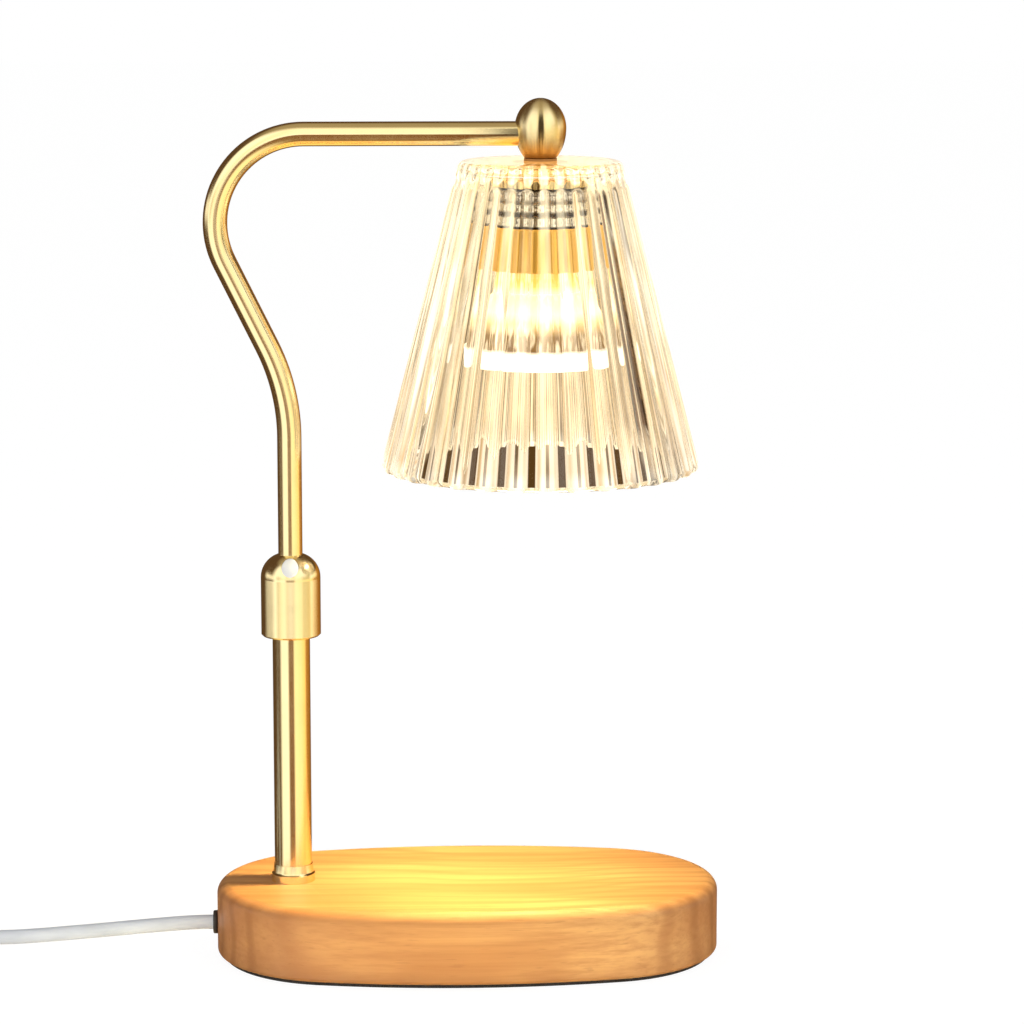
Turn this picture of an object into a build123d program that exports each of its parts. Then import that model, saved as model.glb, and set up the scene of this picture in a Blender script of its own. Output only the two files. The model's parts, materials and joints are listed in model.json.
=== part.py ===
from build123d import *
import os
from math import acos, atan2, cos, degrees, pi, radians, sin, sqrt, tan

# Candle warmer lamp. Millimetres, +Z up. The origin is on the table, under the middle of the oval block.
# The stem stands near the block's -X end, the arm reaches towards +X and the cord leaves the -X end.

# ---------------------------------------------------------------- driving dimensions
# wooden block
base_length = 167.5
base_width = 91.5
side_bulge = 4.25           # how far the long sides swell beyond the round ends
wood_height = 24.0
top_edge_radius = 4.0
bottom_edge_radius = 1.5
pad_thickness = 2.4
pad_recess = 1.0
pad_inset = 2.4
pad_gap = 0.1

# ballast in the block
ballast_length = 90.0
ballast_width = 60.0
ballast_thickness = 7.6
ballast_corner = 14.0
ballast_gap = 0.3
ballast_center_x = 19.0
ballast_screw_inset = 9.0
ballast_screw_radius = 2.0
ballast_screw_head = 3.8
ballast_screw_length = 18.0

# wiring pocket under the stem
pocket_length = 39.0
pocket_width = 36.0
pocket_corner = 7.0
pocket_end_wall = 7.5

# stem
stem_from_end = 25.5
tube_diameter = 12.4
tube_wall = 1.0
tube_length = 94.9
ring_diameter = 14.4
ring_lip = 2.8              # height of the ring's cylinder above the wood
ring_neck = 3.0
ring_seat_depth = 0.8
plug_length = 9.4
nipple_radius = 4.0
nipple_bore = 2.5
washer_radius = 8.5
washer_thickness = 1.2
nut_across_flats = 13.0
nut_thickness = 4.0
nipple_stick_out = 1.2

# collar on the stem
collar_diameter = 19.7
collar_length = 19.5
collar_shelf = 8.8          # from the tube's top up to the seam under the cap
cap_height = 7.7
cap_dome_radius = 8.1
cap_spigot_depth = 3.4
cap_spigot_wall = 0.8
bush_flange = 1.5
bush_length = 10.0
chamber_radius = 8.2
chamber_height = 3.0

# release button
button_radius = 2.75
button_rise = 4.4           # button's axis above the collar's seam
button_proud = 0.4
button_travel = 1.3
lock_plate_thickness = 1.8
lock_plate_wall = 1.6
lock_tab_width = 3.2
spring_thickness = 0.3
spring_height = 1.5
spring_half_angle = 48.0

# arm
arm_reach = 82.4
arm_rise = 99.3             # from the lower bend's start to the level arm
rod_diameter = 8.0
rod_wall = 1.0
bend_margin = 8.9           # straight rod left above the collar with the arm right down
end_play = 1.9              # between the rod's end and the plug with the arm right down
lean_angle = 26.2
back_bend_radius = 69.0
top_bend_radius = 28.9
rod_in_ball = 5.2
cable_radius = 1.5
cable_turn_radius = 3.0
clip_thickness = 0.8
clip_radius = 5.1
clip_groove = 0.4
clip_from_end = 2.0
slide_bush_length = 10.6
slide_down = 30.0

# ball over the shade
ball_radius = 8.4
ball_offset = 1.7           # widest level above the arm's axis
ball_top_rise = 9.8
ball_low_drop = 12.2
ball_foot_drop = 9.7        # from the widest level down to the flat foot
grub_radius = 1.5
grub_length = 2.2

# glass shade
shade_height = 101.4
shade_bottom_radius = 52.7
shade_top_radius = 26.6
shade_wall = 3.4
shade_roof = 3.5
shade_edge = 2.0            # rounding of the top edge
shade_lip = 1.2             # rounding of the lower edge
rib_count = 32
rib_share = 0.63            # of each pitch that the rib takes, the rest is a flat gap
rib_depth_bottom = 1.6
rib_depth_top = 0.6
band_height = 5.5           # band of short ribs that run up into the top edge
band_groove = 1.0
shade_hole_radius = 4.2
gasket_thickness = 0.8
upper_gasket_radius = 5.4
lower_gasket_radius = 9.0

# lampholder
cap_radius = 15.7
cap_depth = 4.3
sheet_wall = 1.0
shade_nut_flats = 14.0
shade_nut_thickness = 2.5
sleeve_radius = 15.5
sleeve_height = 12.7
sleeve_groove = 0.5
sleeve_grooves = 3
cup_top_radius = 16.6
cup_bottom_radius = 17.6
cup_height = 14.0
socket_radius = 13.8
socket_height = 8.8
socket_well = 2.8
socket_well_radius = 6.5
bridge_thickness = 1.2
pin_spacing = 10.0
pin_radius = 1.5
pin_head_radius = 2.4
pin_length = 6.2
pin_head_length = 2.2
pin_slot_clearance = 0.5

# lamp bulb
bulb_length = 44.0
bulb_face_radius = 25.0
bulb_rim = 6.2
bulb_base_radius = 12.0
bulb_base_length = 20.0
reflector_wall = 1.2
lens_thickness = 1.6
lens_recess = 0.6
capsule_radius = 4.5
capsule_length = 16.0

# cord
cord_diameter = 4.8
exit_height = 11.0
grommet_flange_radius = 3.9
grommet_flange = 1.45
grommet_body_radius = 3.4
clamp_thickness = 4.0
clamp_width = 17.0
clamp_height = 7.6
clamp_screw_spacing = 11.0
clamp_screw_radius = 1.25
core_radius = 0.8
core_spacing = 2.4
block_length = 9.0
block_width = 15.0
block_height = 9.0

# in-line dimmer
dimmer_length = 60.0
dimmer_width = 24.0
dimmer_height = 14.8
dimmer_wall = 2.0
dimmer_edge = 2.5
dimmer_near_end = -183.0
dimmer_y = -3.7
boot_length = 21.0
boot_radius = 4.4
boot_tip_radius = 2.9
wheel_radius = 14.0
wheel_thickness = 4.6
wheel_notches = 24
wheel_notch_radius = 0.9
wheel_bore = 3.0
board_thickness = 1.6
board_length = 38.0
board_width = 17.0
pot_size = 9.0
pot_height = 1.2
screw_post_radius = 3.2
screw_post_inset = 7.0
case_screw_radius = 1.25
case_screw_head = 2.3
case_screw_head_height = 1.4

# coil and plug
coil_mean_radius = 28.0
coil_width = 14.8
coil_height = 14.8
coil_lead_in = 12.0
tie_thickness = 0.9
tie_width = 9.0
tie_gap = 0.3
plug_length_x = 30.0
plug_width = 21.0
plug_height = 15.0
plug_rear_width = 12.0
plug_rear_height = 10.0
plug_boot_length = 22.0
plug_boot_radius = 4.2
plug_tail = 35.0
blade_width = 6.3
blade_thickness = 1.5
blade_length = 17.0
blade_spacing = 12.7

# fits
running = 0.05              # radial clearance of a sliding or turning fit
snug = 0.02                 # radial clearance of pieces that are fixed together
clearance = 0.3             # between pieces that only pass each other

# ---------------------------------------------------------------- places that follow from them
wood_bottom = pad_thickness - pad_recess
wood_top = wood_bottom + wood_height
end_radius = base_width / 2 - side_bulge
stem_x = -base_length / 2 + stem_from_end
lamp_x = stem_x + arm_reach
tube_radius = tube_diameter / 2
tube_bore = tube_radius - tube_wall
tube_bottom = wood_top - ring_seat_depth
tube_top = tube_bottom + tube_length
collar_seam = tube_top + collar_shelf
collar_bottom = collar_seam - collar_length
collar_top = collar_seam + cap_height
button_height = collar_seam + button_rise
plug_bottom = tube_bottom + 2 * running
rod_bottom = plug_bottom + plug_length + end_play + slide_down
bend_start = collar_top + slide_down + bend_margin
arm_height = bend_start + arm_rise
ring_radius = ring_diameter / 2
pocket_roof = exit_height + clamp_height / 2
pocket_low_x = -base_length / 2 + pocket_end_wall
rod_radius = rod_diameter / 2
rod_bore = rod_radius - rod_wall
collar_radius = collar_diameter / 2
cord_radius = cord_diameter / 2
ball_middle = arm_height + ball_offset
ball_bottom = ball_middle - ball_foot_drop
shade_top = ball_bottom - gasket_thickness
shade_bottom = shade_top - shade_height
shade_roof_under = shade_top - shade_roof
holder_top = shade_roof_under - gasket_thickness
sleeve_top = holder_top - cap_depth
cup_top = sleeve_top - sleeve_height
socket_bottom = cup_top - sheet_wall
socket_top = socket_bottom + socket_height
bulb_top = socket_bottom - 0.2
bulb_face = bulb_top - bulb_length
grommet_face_x = -base_length / 2 - grommet_flange
dimmer_x = dimmer_near_end - dimmer_length / 2
dimmer_far_end = dimmer_near_end - dimmer_length
dimmer_axis = dimmer_height / 2
coil_outer = coil_mean_radius + coil_width / 2
coil_turn_radius = coil_outer - cord_radius
coil_stub = sqrt(coil_outer**2 - (coil_outer - cord_diameter) ** 2) + snug
coil_x = dimmer_far_end - boot_length - coil_lead_in - coil_stub
coil_y = dimmer_y + coil_turn_radius
coil_bottom = tie_thickness
plug_axis = plug_height / 2
plug_y = coil_y + coil_turn_radius


# ---------------------------------------------------------------- helpers
def upright(radius, bottom, top, x=0.0, y=0.0):
    """Solid upright cylinder between two heights."""
    return Pos(x, y, bottom) * Cylinder(radius, top - bottom, align=(Align.CENTER, Align.CENTER, Align.MIN))


def pipe(outer, inner, bottom, top, x=0.0, y=0.0):
    """Upright ring or tube between two heights."""
    return upright(outer, bottom, top, x, y) - upright(inner, bottom - 1, top + 1, x, y)


def turned(corners, x=0.0, y=0.0):
    """Solid turned about the upright axis through (x, y). The corners are (radius, height)."""
    section = make_face(Plane.XZ * Polyline(*corners, close=True))
    return Pos(x, y, 0) * revolve(section, Axis.Z)


def along_x(radius, start, end, y, z):
    """Solid cylinder lying along X."""
    body = Cylinder(radius, end - start, align=(Align.CENTER, Align.CENTER, Align.MIN))
    return Pos(start, y, z) * Rot(0, 90, 0) * body


def along_y(radius, start, end, x, z):
    """Solid cylinder lying along Y."""
    body = Cylinder(radius, end - start, align=(Align.CENTER, Align.CENTER, Align.MIN))
    return Pos(x, start, z) * Rot(-90, 0, 0) * body


def block(low, high):
    """Box between two corners."""
    size = [b - a for a, b in zip(low, high)]
    return Pos(*low) * Box(*size, align=(Align.MIN, Align.MIN, Align.MIN))


def plate(length, width, corner, bottom, top, x=0.0, y=0.0):
    """Upright prism with rounded corners."""
    return Pos(x, y, bottom) * extrude(RectangleRounded(length, width, corner), top - bottom)


def hex_nut(flats, bore, bottom, top, x, y=0.0):
    """Hexagon nut with a plain bore."""
    body = Pos(x, y, bottom) * extrude(RegularPolygon(flats / 2, 6, major_radius=False), top - bottom)
    return body - upright(bore, bottom - 1, top + 1, x, y)


def swept(points, radii, section):
    """A round section swept along straight runs joined by tangent arcs."""
    path = FilletPolyline(*points, radius=radii)
    return sweep(Plane(origin=path @ 0, z_dir=path % 0) * section, path=path), path


def corner_radii(points):
    """The largest arc that each corner of a route has room for."""
    found = []
    for before, here, after in zip(points, points[1:], points[2:]):
        a, b = Vector(*here) - Vector(*before), Vector(*after) - Vector(*here)
        turn = radians(a.get_angle(b))
        found.append(0.45 * min(a.length, b.length) / tan(turn / 2))
    return found


def check_volume(name, solid, path, radius):
    """Prints how near a swept cord is to its section times its length."""
    ideal = pi * radius**2 * path.length
    print(f"{name}: length {path.length:.1f} mm, volume {solid.volume / ideal:.4f} of the ideal")


# ---------------------------------------------------------------- wooden block
def oval(inset):
    """The block's outline drawn in by inset: two end arcs and two flatter side arcs, all tangent."""
    half_length, half_width = base_length / 2, base_width / 2
    end_x = half_length - end_radius
    side_radius = (end_x**2 + half_width**2 - end_radius**2) / (2 * side_bulge)
    drop = side_radius - half_width
    reach = side_radius - end_radius
    touch_x = end_x + (end_radius - inset) * end_x / reach
    touch_y = (end_radius - inset) * drop / reach
    right = ThreePointArc((touch_x, -touch_y), (half_length - inset, 0), (touch_x, touch_y))
    back = ThreePointArc((touch_x, touch_y), (0, half_width - inset), (-touch_x, touch_y))
    left = ThreePointArc((-touch_x, touch_y), (-half_length + inset, 0), (-touch_x, -touch_y))
    front = ThreePointArc((-touch_x, -touch_y), (0, -half_width + inset), (touch_x, -touch_y))
    return make_face([right, back, left, front])


def ballast_screw_places():
    """Centres of the four ballast screws."""
    dx, dy = ballast_length / 2 - ballast_screw_inset, ballast_width / 2 - ballast_screw_inset
    return [(ballast_center_x + sx * dx, sy * dy) for sx in (-1, 1) for sy in (-1, 1)]


def clamp_screw_places():
    """Centres of the two screws of the cord clamp."""
    x = pocket_low_x + clearance + clamp_thickness / 2
    return [(x, sy * clamp_screw_spacing / 2) for sy in (-1, 1)]


def wood_base():
    body = Pos(0, 0, wood_bottom) * extrude(oval(0), wood_height)
    body = fillet(body.edges().group_by(Axis.Z)[-1], top_edge_radius)
    body = fillet(body.edges().group_by(Axis.Z)[0], bottom_edge_radius)
    body -= Pos(0, 0, wood_bottom - 1) * extrude(oval(pad_inset), 1 + pad_recess)
    body -= plate(
        ballast_length + 2 * ballast_gap, ballast_width + 2 * ballast_gap, ballast_corner + ballast_gap,
        pad_thickness - 1, ballast_roof(), ballast_center_x,
    )
    body -= plate(
        pocket_length, pocket_width, pocket_corner, pad_thickness - 1, pocket_roof,
        pocket_low_x + pocket_length / 2,
    )
    body -= upright(nipple_radius + running, pocket_roof - 1, wood_top + 1, stem_x)
    body -= upright(ring_radius + running, tube_bottom, wood_top + 1, stem_x)
    body -= along_x(grommet_body_radius + snug, -base_length, pocket_low_x + 1, 0, exit_height)
    for x, y in ballast_screw_places():
        body -= upright(ballast_screw_radius + snug, pad_thickness, ballast_screw_tip() + 0.5, x, y)
    for x, y in clamp_screw_places():
        body -= upright(clamp_screw_radius + snug, pad_thickness, clamp_screw_tip() + 0.5, x, y)
    return body


def ballast_roof():
    """Height of the ballast pocket's roof."""
    return pad_thickness + 0.4 + ballast_thickness


def ballast_screw_tip():
    return pad_thickness + 0.4 + ballast_screw_length


def clamp_screw_tip():
    return pocket_roof + 5.0


def non_slip_pad():
    return extrude(oval(pad_inset + pad_gap), pad_thickness)


def ballast_plate():
    low = ballast_roof() - ballast_thickness
    body = plate(ballast_length, ballast_width, ballast_corner, low, ballast_roof(), ballast_center_x)
    for x, y in ballast_screw_places():
        body -= upright(ballast_screw_radius + snug, low - 1, ballast_roof() + 1, x, y)
        body -= Pos(x, y, low) * Cone(
            ballast_screw_head + snug, ballast_screw_radius + snug, ballast_screw_head - ballast_screw_radius,
            align=(Align.CENTER, Align.CENTER, Align.MIN),
        )
    return body


def ballast_screws():
    low = ballast_roof() - ballast_thickness
    cone_height = ballast_screw_head - ballast_screw_radius
    point = low + ballast_screw_length
    outline = [
        (0, low), (ballast_screw_head, low), (ballast_screw_radius, low + cone_height),
        (ballast_screw_radius, point - 3), (0, point),
    ]
    return Compound([turned(outline, x, y) for x, y in ballast_screw_places()])


# ---------------------------------------------------------------- stem
def base_ring():
    low, lip = tube_bottom, wood_top + ring_lip
    inner = tube_radius + running
    neck = inner + 0.35
    outline = [
        (inner, low), (ring_radius, low), (ring_radius, lip - 0.3), (ring_radius - 0.3, lip),
        (neck + 0.25, lip), (neck, lip + ring_neck / 2), (inner + 0.15, lip + ring_neck),
        (inner, lip + ring_neck),
    ]
    return turned(outline, stem_x)


def lower_tube():
    return pipe(tube_radius, tube_bore, tube_bottom, tube_top, stem_x)


def tube_plug():
    return pipe(tube_bore - snug, nipple_radius + snug, plug_bottom, plug_bottom + plug_length, stem_x)


def stem_nut_bottom():
    return pocket_roof - washer_thickness - nut_thickness


def stem_nipple():
    low = stem_nut_bottom() - nipple_stick_out
    return pipe(nipple_radius, nipple_bore, low, tube_bottom + plug_length - 1, stem_x)


def stem_washer():
    return pipe(washer_radius, nipple_radius + 0.1, pocket_roof - washer_thickness, pocket_roof, stem_x)


def stem_nut():
    low = stem_nut_bottom()
    return hex_nut(nut_across_flats, nipple_radius + snug, low, low + nut_thickness, stem_x)


# ---------------------------------------------------------------- collar and release
def dome_face(proud):
    """Half section of the collar's dome, swollen by proud."""
    center_r = collar_radius - cap_dome_radius
    radius = cap_dome_radius + proud
    lift = cap_height
    top_r = center_r + sqrt(radius**2 - lift**2)
    middle = radians(degrees(atan2(lift, top_r - center_r)) / 2)
    arc = ThreePointArc(
        (center_r + radius, collar_seam),
        (center_r + radius * cos(middle), collar_seam + radius * sin(middle)),
        (top_r, collar_seam + lift),
    )
    rest = Polyline(
        (top_r, collar_seam + lift), (0, collar_seam + lift), (0, collar_seam), (center_r + radius, collar_seam)
    )
    return make_face([Plane.XZ * arc, Plane.XZ * rest])


def collar():
    inner = tube_radius + snug
    hole = rod_radius + 0.15
    groove_out = chamber_radius + cap_spigot_wall + snug
    groove_in = chamber_radius - snug
    groove_floor = collar_seam - cap_spigot_depth - 0.1
    shelf = tube_top + bush_flange
    outline = [
        (inner, collar_bottom), (collar_radius - 0.6, collar_bottom), (collar_radius, collar_bottom + 0.6),
        (collar_radius, collar_seam), (groove_out, collar_seam), (groove_out, groove_floor),
        (groove_in, groove_floor), (groove_in, collar_seam), (hole, collar_seam), (hole, shelf), (inner, shelf),
    ]
    return turned(outline, stem_x)


def collar_cap():
    body = Pos(stem_x, 0, 0) * revolve(dome_face(0), Axis.Z)
    body += pipe(
        chamber_radius + cap_spigot_wall, chamber_radius, collar_seam - cap_spigot_depth, collar_seam, stem_x
    )
    body -= upright(chamber_radius, collar_seam - cap_spigot_depth - 1, collar_seam + chamber_height, stem_x)
    body -= upright(rod_radius + running, collar_seam, collar_seam + cap_height + 1, stem_x)
    body -= along_y(button_radius + running, -collar_radius - 1, 0, stem_x, button_height)
    return body


def guide_bush():
    flange_top = tube_top + bush_flange
    outline = [
        (rod_radius + running, tube_top - bush_length), (tube_bore - snug, tube_top - bush_length),
        (tube_bore - snug, tube_top), (tube_radius, tube_top), (tube_radius, flange_top),
        (rod_radius + running, flange_top),
    ]
    return turned(outline, stem_x)


def lock_plate_top():
    return collar_seam + 0.1 + lock_plate_thickness


def lock_tab_top():
    """The tab stands up from the plate, to just under the chamber's roof."""
    return collar_seam + chamber_height - running


def lock_tab_reach():
    """How far the lock plate's tab reaches from the rod's axis, inside the round chamber."""
    return sqrt(chamber_radius**2 - (lock_tab_width / 2) ** 2) - running


def release_button():
    """White button whose face follows the dome. A notch under its inner end takes the lock plate's tab."""
    inner_end = -(rod_radius + button_travel + clearance)
    body = along_y(button_radius, -collar_radius - 2, inner_end, stem_x, button_height)
    body &= Pos(stem_x, 0, 0) * revolve(dome_face(button_proud), Axis.Z)
    notch_front = -lock_tab_reach() - running
    return body - block((stem_x - 5, notch_front, collar_seam - 1), (stem_x + 5, 0, lock_tab_top() + running))


def lock_plate():
    """Steel plate round the rod. The spring draws its back edge on the rod and the button pushes it off."""
    hole, outer = rod_radius + clearance, rod_radius + clearance + lock_plate_wall
    low = collar_seam + 0.1
    rim = make_hull([*Circle(outer).edges(), *(Pos(0, -button_travel) * Circle(outer)).edges()])
    opening = make_hull([*Circle(hole).edges(), *(Pos(0, -button_travel) * Circle(hole)).edges()])
    eye = Pos(stem_x, 0, low) * extrude(rim, lock_plate_thickness)
    tab = block(
        (stem_x - lock_tab_width / 2, -lock_tab_reach(), low),
        (stem_x + lock_tab_width / 2, -outer, lock_tab_top()),
    )
    return eye + tab - Pos(stem_x, 0, low - 1) * extrude(opening, lock_plate_thickness + 2)


def button_spring():
    """Leaf spring behind the lock plate, drawn pressed flat against the chamber's wall."""
    outer = chamber_radius - snug
    ring = pipe(outer, outer - spring_thickness, collar_seam + 0.2, collar_seam + 0.2 + spring_height, stem_x)
    reach = 2 * collar_radius
    left = reach * sin(radians(spring_half_angle))
    deep = reach * cos(radians(spring_half_angle))
    wedge = make_face(Polyline((0, 0), (left, deep), (-left, deep), close=True))
    return ring & (Pos(stem_x, 0, collar_seam - 1) * extrude(wedge, 10))


# ---------------------------------------------------------------- arm
def arm_corners():
    """The two corners of the bent rod's centre line."""
    lean = radians(lean_angle)
    first = bend_start + back_bend_radius * tan(lean / 2)
    second_x = stem_x - (arm_height - first) * tan(lean)
    return (stem_x, 0, first), (second_x, 0, arm_height)


def clip_heights():
    """Lower faces of the two clips that hold the slide bush on the rod."""
    low = rod_bottom + clip_from_end
    return low, low + clip_thickness + slide_bush_length + 2 * running


def gooseneck_rod():
    first, second = arm_corners()
    end_x = lamp_x - ball_radius + rod_in_ball
    points = [(stem_x, 0, rod_bottom), first, second, (end_x, 0, arm_height)]
    body, path = swept(points, [back_bend_radius, top_bend_radius], Circle(rod_radius) - Circle(rod_bore))
    for low in clip_heights():
        body -= pipe(
            rod_radius + 1, rod_radius - clip_groove, low - snug, low + clip_thickness + snug, stem_x
        )
    return body


def rod_clips():
    """Two split clips in the rod's grooves."""
    opening = 2 * (rod_radius - clip_groove) - 1.6
    rings = []
    for low in clip_heights():
        ring = pipe(clip_radius, rod_radius - clip_groove + snug, low, low + clip_thickness, stem_x)
        mouth = block(
            (stem_x, -opening / 2, low - clip_thickness),
            (stem_x + 2 * clip_radius, opening / 2, low + 2 * clip_thickness),
        )
        rings.append(ring - mouth)
    return Compound(rings)


def slide_bush():
    low = clip_heights()[0] + clip_thickness + running
    return pipe(tube_bore - running, rod_radius + running, low, low + slide_bush_length, stem_x)


def arm_cable():
    """The lead inside the rod, from its lower end over the arm and down into the socket."""
    first, second = arm_corners()
    points = [
        (stem_x, 0, rod_bottom + 1), first, second, (lamp_x, 0, arm_height), (lamp_x, 0, socket_top - 1.5),
    ]
    body, path = swept(points, [back_bend_radius, top_bend_radius, cable_turn_radius], Circle(cable_radius))
    check_volume("arm_cable", body, path, cable_radius)
    return body


def ball_outline():
    """Half outline of the egg-shaped ball, down to its pointed lower end."""
    k = 4 / 3 * (sqrt(2) - 1)
    top, middle, low = ball_middle + ball_top_rise, ball_middle, ball_middle - ball_low_drop
    upper = Bezier(
        (0, top), (k * ball_radius, top), (ball_radius, middle + k * ball_top_rise), (ball_radius, middle)
    )
    lower = Bezier(
        (ball_radius, middle), (ball_radius, middle - k * ball_low_drop), (k * ball_radius, low), (0, low)
    )
    return make_face([Plane.XZ * upper, Plane.XZ * lower, Plane.XZ * Line((0, low), (0, top))])


def ball_finial():
    body = Pos(lamp_x, 0, 0) * revolve(ball_outline(), Axis.Z)
    body -= upright(ball_radius, ball_middle - ball_low_drop - 1, ball_bottom, lamp_x)
    rod_end = lamp_x - ball_radius + rod_in_ball
    body -= along_x(rod_radius + snug, lamp_x - ball_radius - 1, rod_end, 0, arm_height)
    body -= along_x(rod_bore, rod_end - 1, lamp_x + cable_turn_radius, 0, arm_height)
    body -= upright(nipple_radius + snug, ball_bottom - 1, ball_nipple_top(), lamp_x)
    body -= upright(nipple_bore, ball_nipple_top() - 1, arm_height, lamp_x)
    body -= along_y(grub_radius + snug, 0, ball_radius + 1, grub_x(), arm_height)
    return body


def ball_nipple_top():
    return arm_height - rod_radius - 0.4


def grub_x():
    return lamp_x - ball_radius + rod_in_ball / 2 + 0.6


def finial_screw():
    start = rod_radius + running
    body = along_y(grub_radius, start, start + grub_length, grub_x(), arm_height)
    slot = block(
        (grub_x() - grub_radius, start + grub_length - 0.6, arm_height - 0.25),
        (grub_x() + grub_radius, start + grub_length + 1, arm_height + 0.25),
    )
    return body - slot


# ---------------------------------------------------------------- shade
def shade_radius(height):
    """Outer radius of the shade's rib crests at a height."""
    share = (shade_top - height) / shade_height
    return shade_top_radius + share * (shade_bottom_radius - shade_top_radius)


def rib_depth(height):
    share = (shade_top - height) / shade_height
    return rib_depth_top + share * (rib_depth_bottom - rib_depth_top)


def ribbed_face(height):
    """Level section of the ribbed glass: rounded ribs with a flat gap between each two."""
    crest = shade_radius(height)
    valley = crest - rib_depth(height)
    step = 2 * pi / rib_count
    half = rib_share * step / 2

    def at(radius, turn):
        return radius * cos(turn), radius * sin(turn)

    edges = []
    for k in range(rib_count):
        here, after = k * step, (k + 1) * step
        edges.append(ThreePointArc(at(valley, here - half), at(crest, here), at(valley, here + half)))
        edges.append(Line(at(valley, here + half), at(valley, after - half)))
    return Pos(lamp_x, 0, height) * make_face(edges)


def ribbed_cone(bottom, top):
    return loft([ribbed_face(bottom), ribbed_face(top)], ruled=True)


def plain_cone(bottom, top):
    low_r, high_r = (shade_radius(z) - rib_depth(z) - 0.1 for z in (bottom, top))
    return turned([(0, bottom), (low_r, bottom), (high_r, top), (0, top)], lamp_x)


def shade_envelope():
    """Plain cone just outside the rib crests, its outer edges rounded, that trims the ends of the ribs."""
    low_r, high_r = (shade_radius(z) + snug for z in (shade_bottom, shade_top))
    body = turned([(0, shade_bottom), (low_r, shade_bottom), (high_r, shade_top), (0, shade_top)], lamp_x)
    body = fillet(body.edges().filter_by(GeomType.CIRCLE).group_by(Axis.Z)[-1], shade_edge)
    return fillet(body.edges().filter_by(GeomType.CIRCLE).group_by(Axis.Z)[0], shade_lip)


def glass_shade():
    """Closed glass cone with long ribs, a groove, and a band of short ribs that end in its rounded top edge."""
    band_low = shade_top - band_height
    groove_low = band_low - band_groove
    body = ribbed_cone(shade_bottom, groove_low) + plain_cone(groove_low, band_low)
    body = (body + ribbed_cone(band_low, shade_top)) & shade_envelope()
    roof = shade_roof_under
    inner_low = shade_radius(shade_bottom) - rib_depth(shade_bottom) - shade_wall
    inner_high = shade_radius(roof) - rib_depth(roof) - shade_wall
    body -= turned(
        [
            (0, shade_bottom - 1), (inner_low + 0.3, shade_bottom - 1), (inner_low, shade_bottom),
            (inner_high + 1.0, roof - 3.0), (inner_high - 1.5, roof), (0, roof),
        ],
        lamp_x,
    )
    return body - upright(shade_hole_radius, roof - 1, shade_top + 1, lamp_x)


def shade_gaskets():
    """Soft washers over and under the glass roof."""
    inner = nipple_radius + 0.1
    upper = pipe(upper_gasket_radius, inner, shade_top, shade_top + gasket_thickness, lamp_x)
    lower = pipe(lower_gasket_radius, inner, shade_roof_under - gasket_thickness, shade_roof_under, lamp_x)
    return Compound([upper, lower])


# ---------------------------------------------------------------- lampholder
def holder_nipple():
    return pipe(nipple_radius, nipple_bore, socket_top + 0.1, ball_nipple_top() - 0.1, lamp_x)


def holder_cap():
    """Brass cap under the glass roof."""
    inner = cap_radius - sheet_wall
    hole = nipple_radius + 0.1
    top, low = holder_top, holder_top - cap_depth
    outline = [
        (hole, top), (cap_radius - 1.2, top), (cap_radius, top - 1.2), (cap_radius, low), (inner, low),
        (inner, top - sheet_wall - 0.6), (inner - 0.6, top - sheet_wall), (hole, top - sheet_wall),
    ]
    return turned(outline, lamp_x)


def shade_nut():
    top = holder_top - sheet_wall
    return hex_nut(shade_nut_flats, nipple_radius + snug, top - shade_nut_thickness, top, lamp_x)


def holder_bridge():
    """Steel disc with a threaded hub that carries the socket."""
    low = socket_top
    outline = [
        (nipple_radius + snug, low), (sleeve_radius - sheet_wall - 0.1, low),
        (sleeve_radius - sheet_wall - 0.1, low + bridge_thickness), (nipple_radius + 2, low + bridge_thickness),
        (nipple_radius + 2, low + 2.4), (nipple_radius + snug, low + 2.4),
    ]
    return turned(outline, lamp_x)


def holder_sleeve():
    """Chrome sleeve with turned grooves."""
    inner = sleeve_radius - sheet_wall
    pitch = sleeve_height / (2 * sleeve_grooves + 1)
    outer = [(inner, cup_top), (sleeve_radius, cup_top)]
    for k in range(sleeve_grooves):
        low = cup_top + (2 * k + 1) * pitch
        outer += [
            (sleeve_radius, low), (sleeve_radius - sleeve_groove, low),
            (sleeve_radius - sleeve_groove, low + pitch), (sleeve_radius, low + pitch),
        ]
    outer += [(sleeve_radius, sleeve_top), (inner, sleeve_top)]
    return turned(outer, lamp_x)


def holder_cup():
    """Brass cup round the bulb's neck, open below."""
    low = cup_top - cup_height
    outline = [
        (socket_radius + 0.1, cup_top), (cup_top_radius - 0.8, cup_top), (cup_top_radius, cup_top - 0.8),
        (cup_bottom_radius, low), (cup_bottom_radius - sheet_wall, low),
        (cup_top_radius - sheet_wall, cup_top - sheet_wall), (socket_radius + 0.1, cup_top - sheet_wall),
    ]
    return turned(outline, lamp_x)


def pin_places():
    return [(lamp_x, sy * pin_spacing / 2) for sy in (-1, 1)]


def socket_body():
    """Ceramic two-pin socket with a wiring well on top and a slot for each pin."""
    body = upright(socket_radius, socket_bottom, socket_top, lamp_x)
    body -= upright(socket_well_radius, socket_top - socket_well, socket_top + 1, lamp_x)
    for x, y in pin_places():
        body -= upright(pin_head_radius + pin_slot_clearance, socket_bottom - 1, contact_low() + 1.2, x, y)
    return body


def contact_low():
    """Lower face of the socket's contact springs."""
    return bulb_top + pin_length + 0.1


def socket_contacts():
    """Two contact springs over the pin heads."""
    contacts = [upright(pin_head_radius, contact_low(), contact_low() + 1.1, x, y) for x, y in pin_places()]
    return Compound(contacts)


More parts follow.
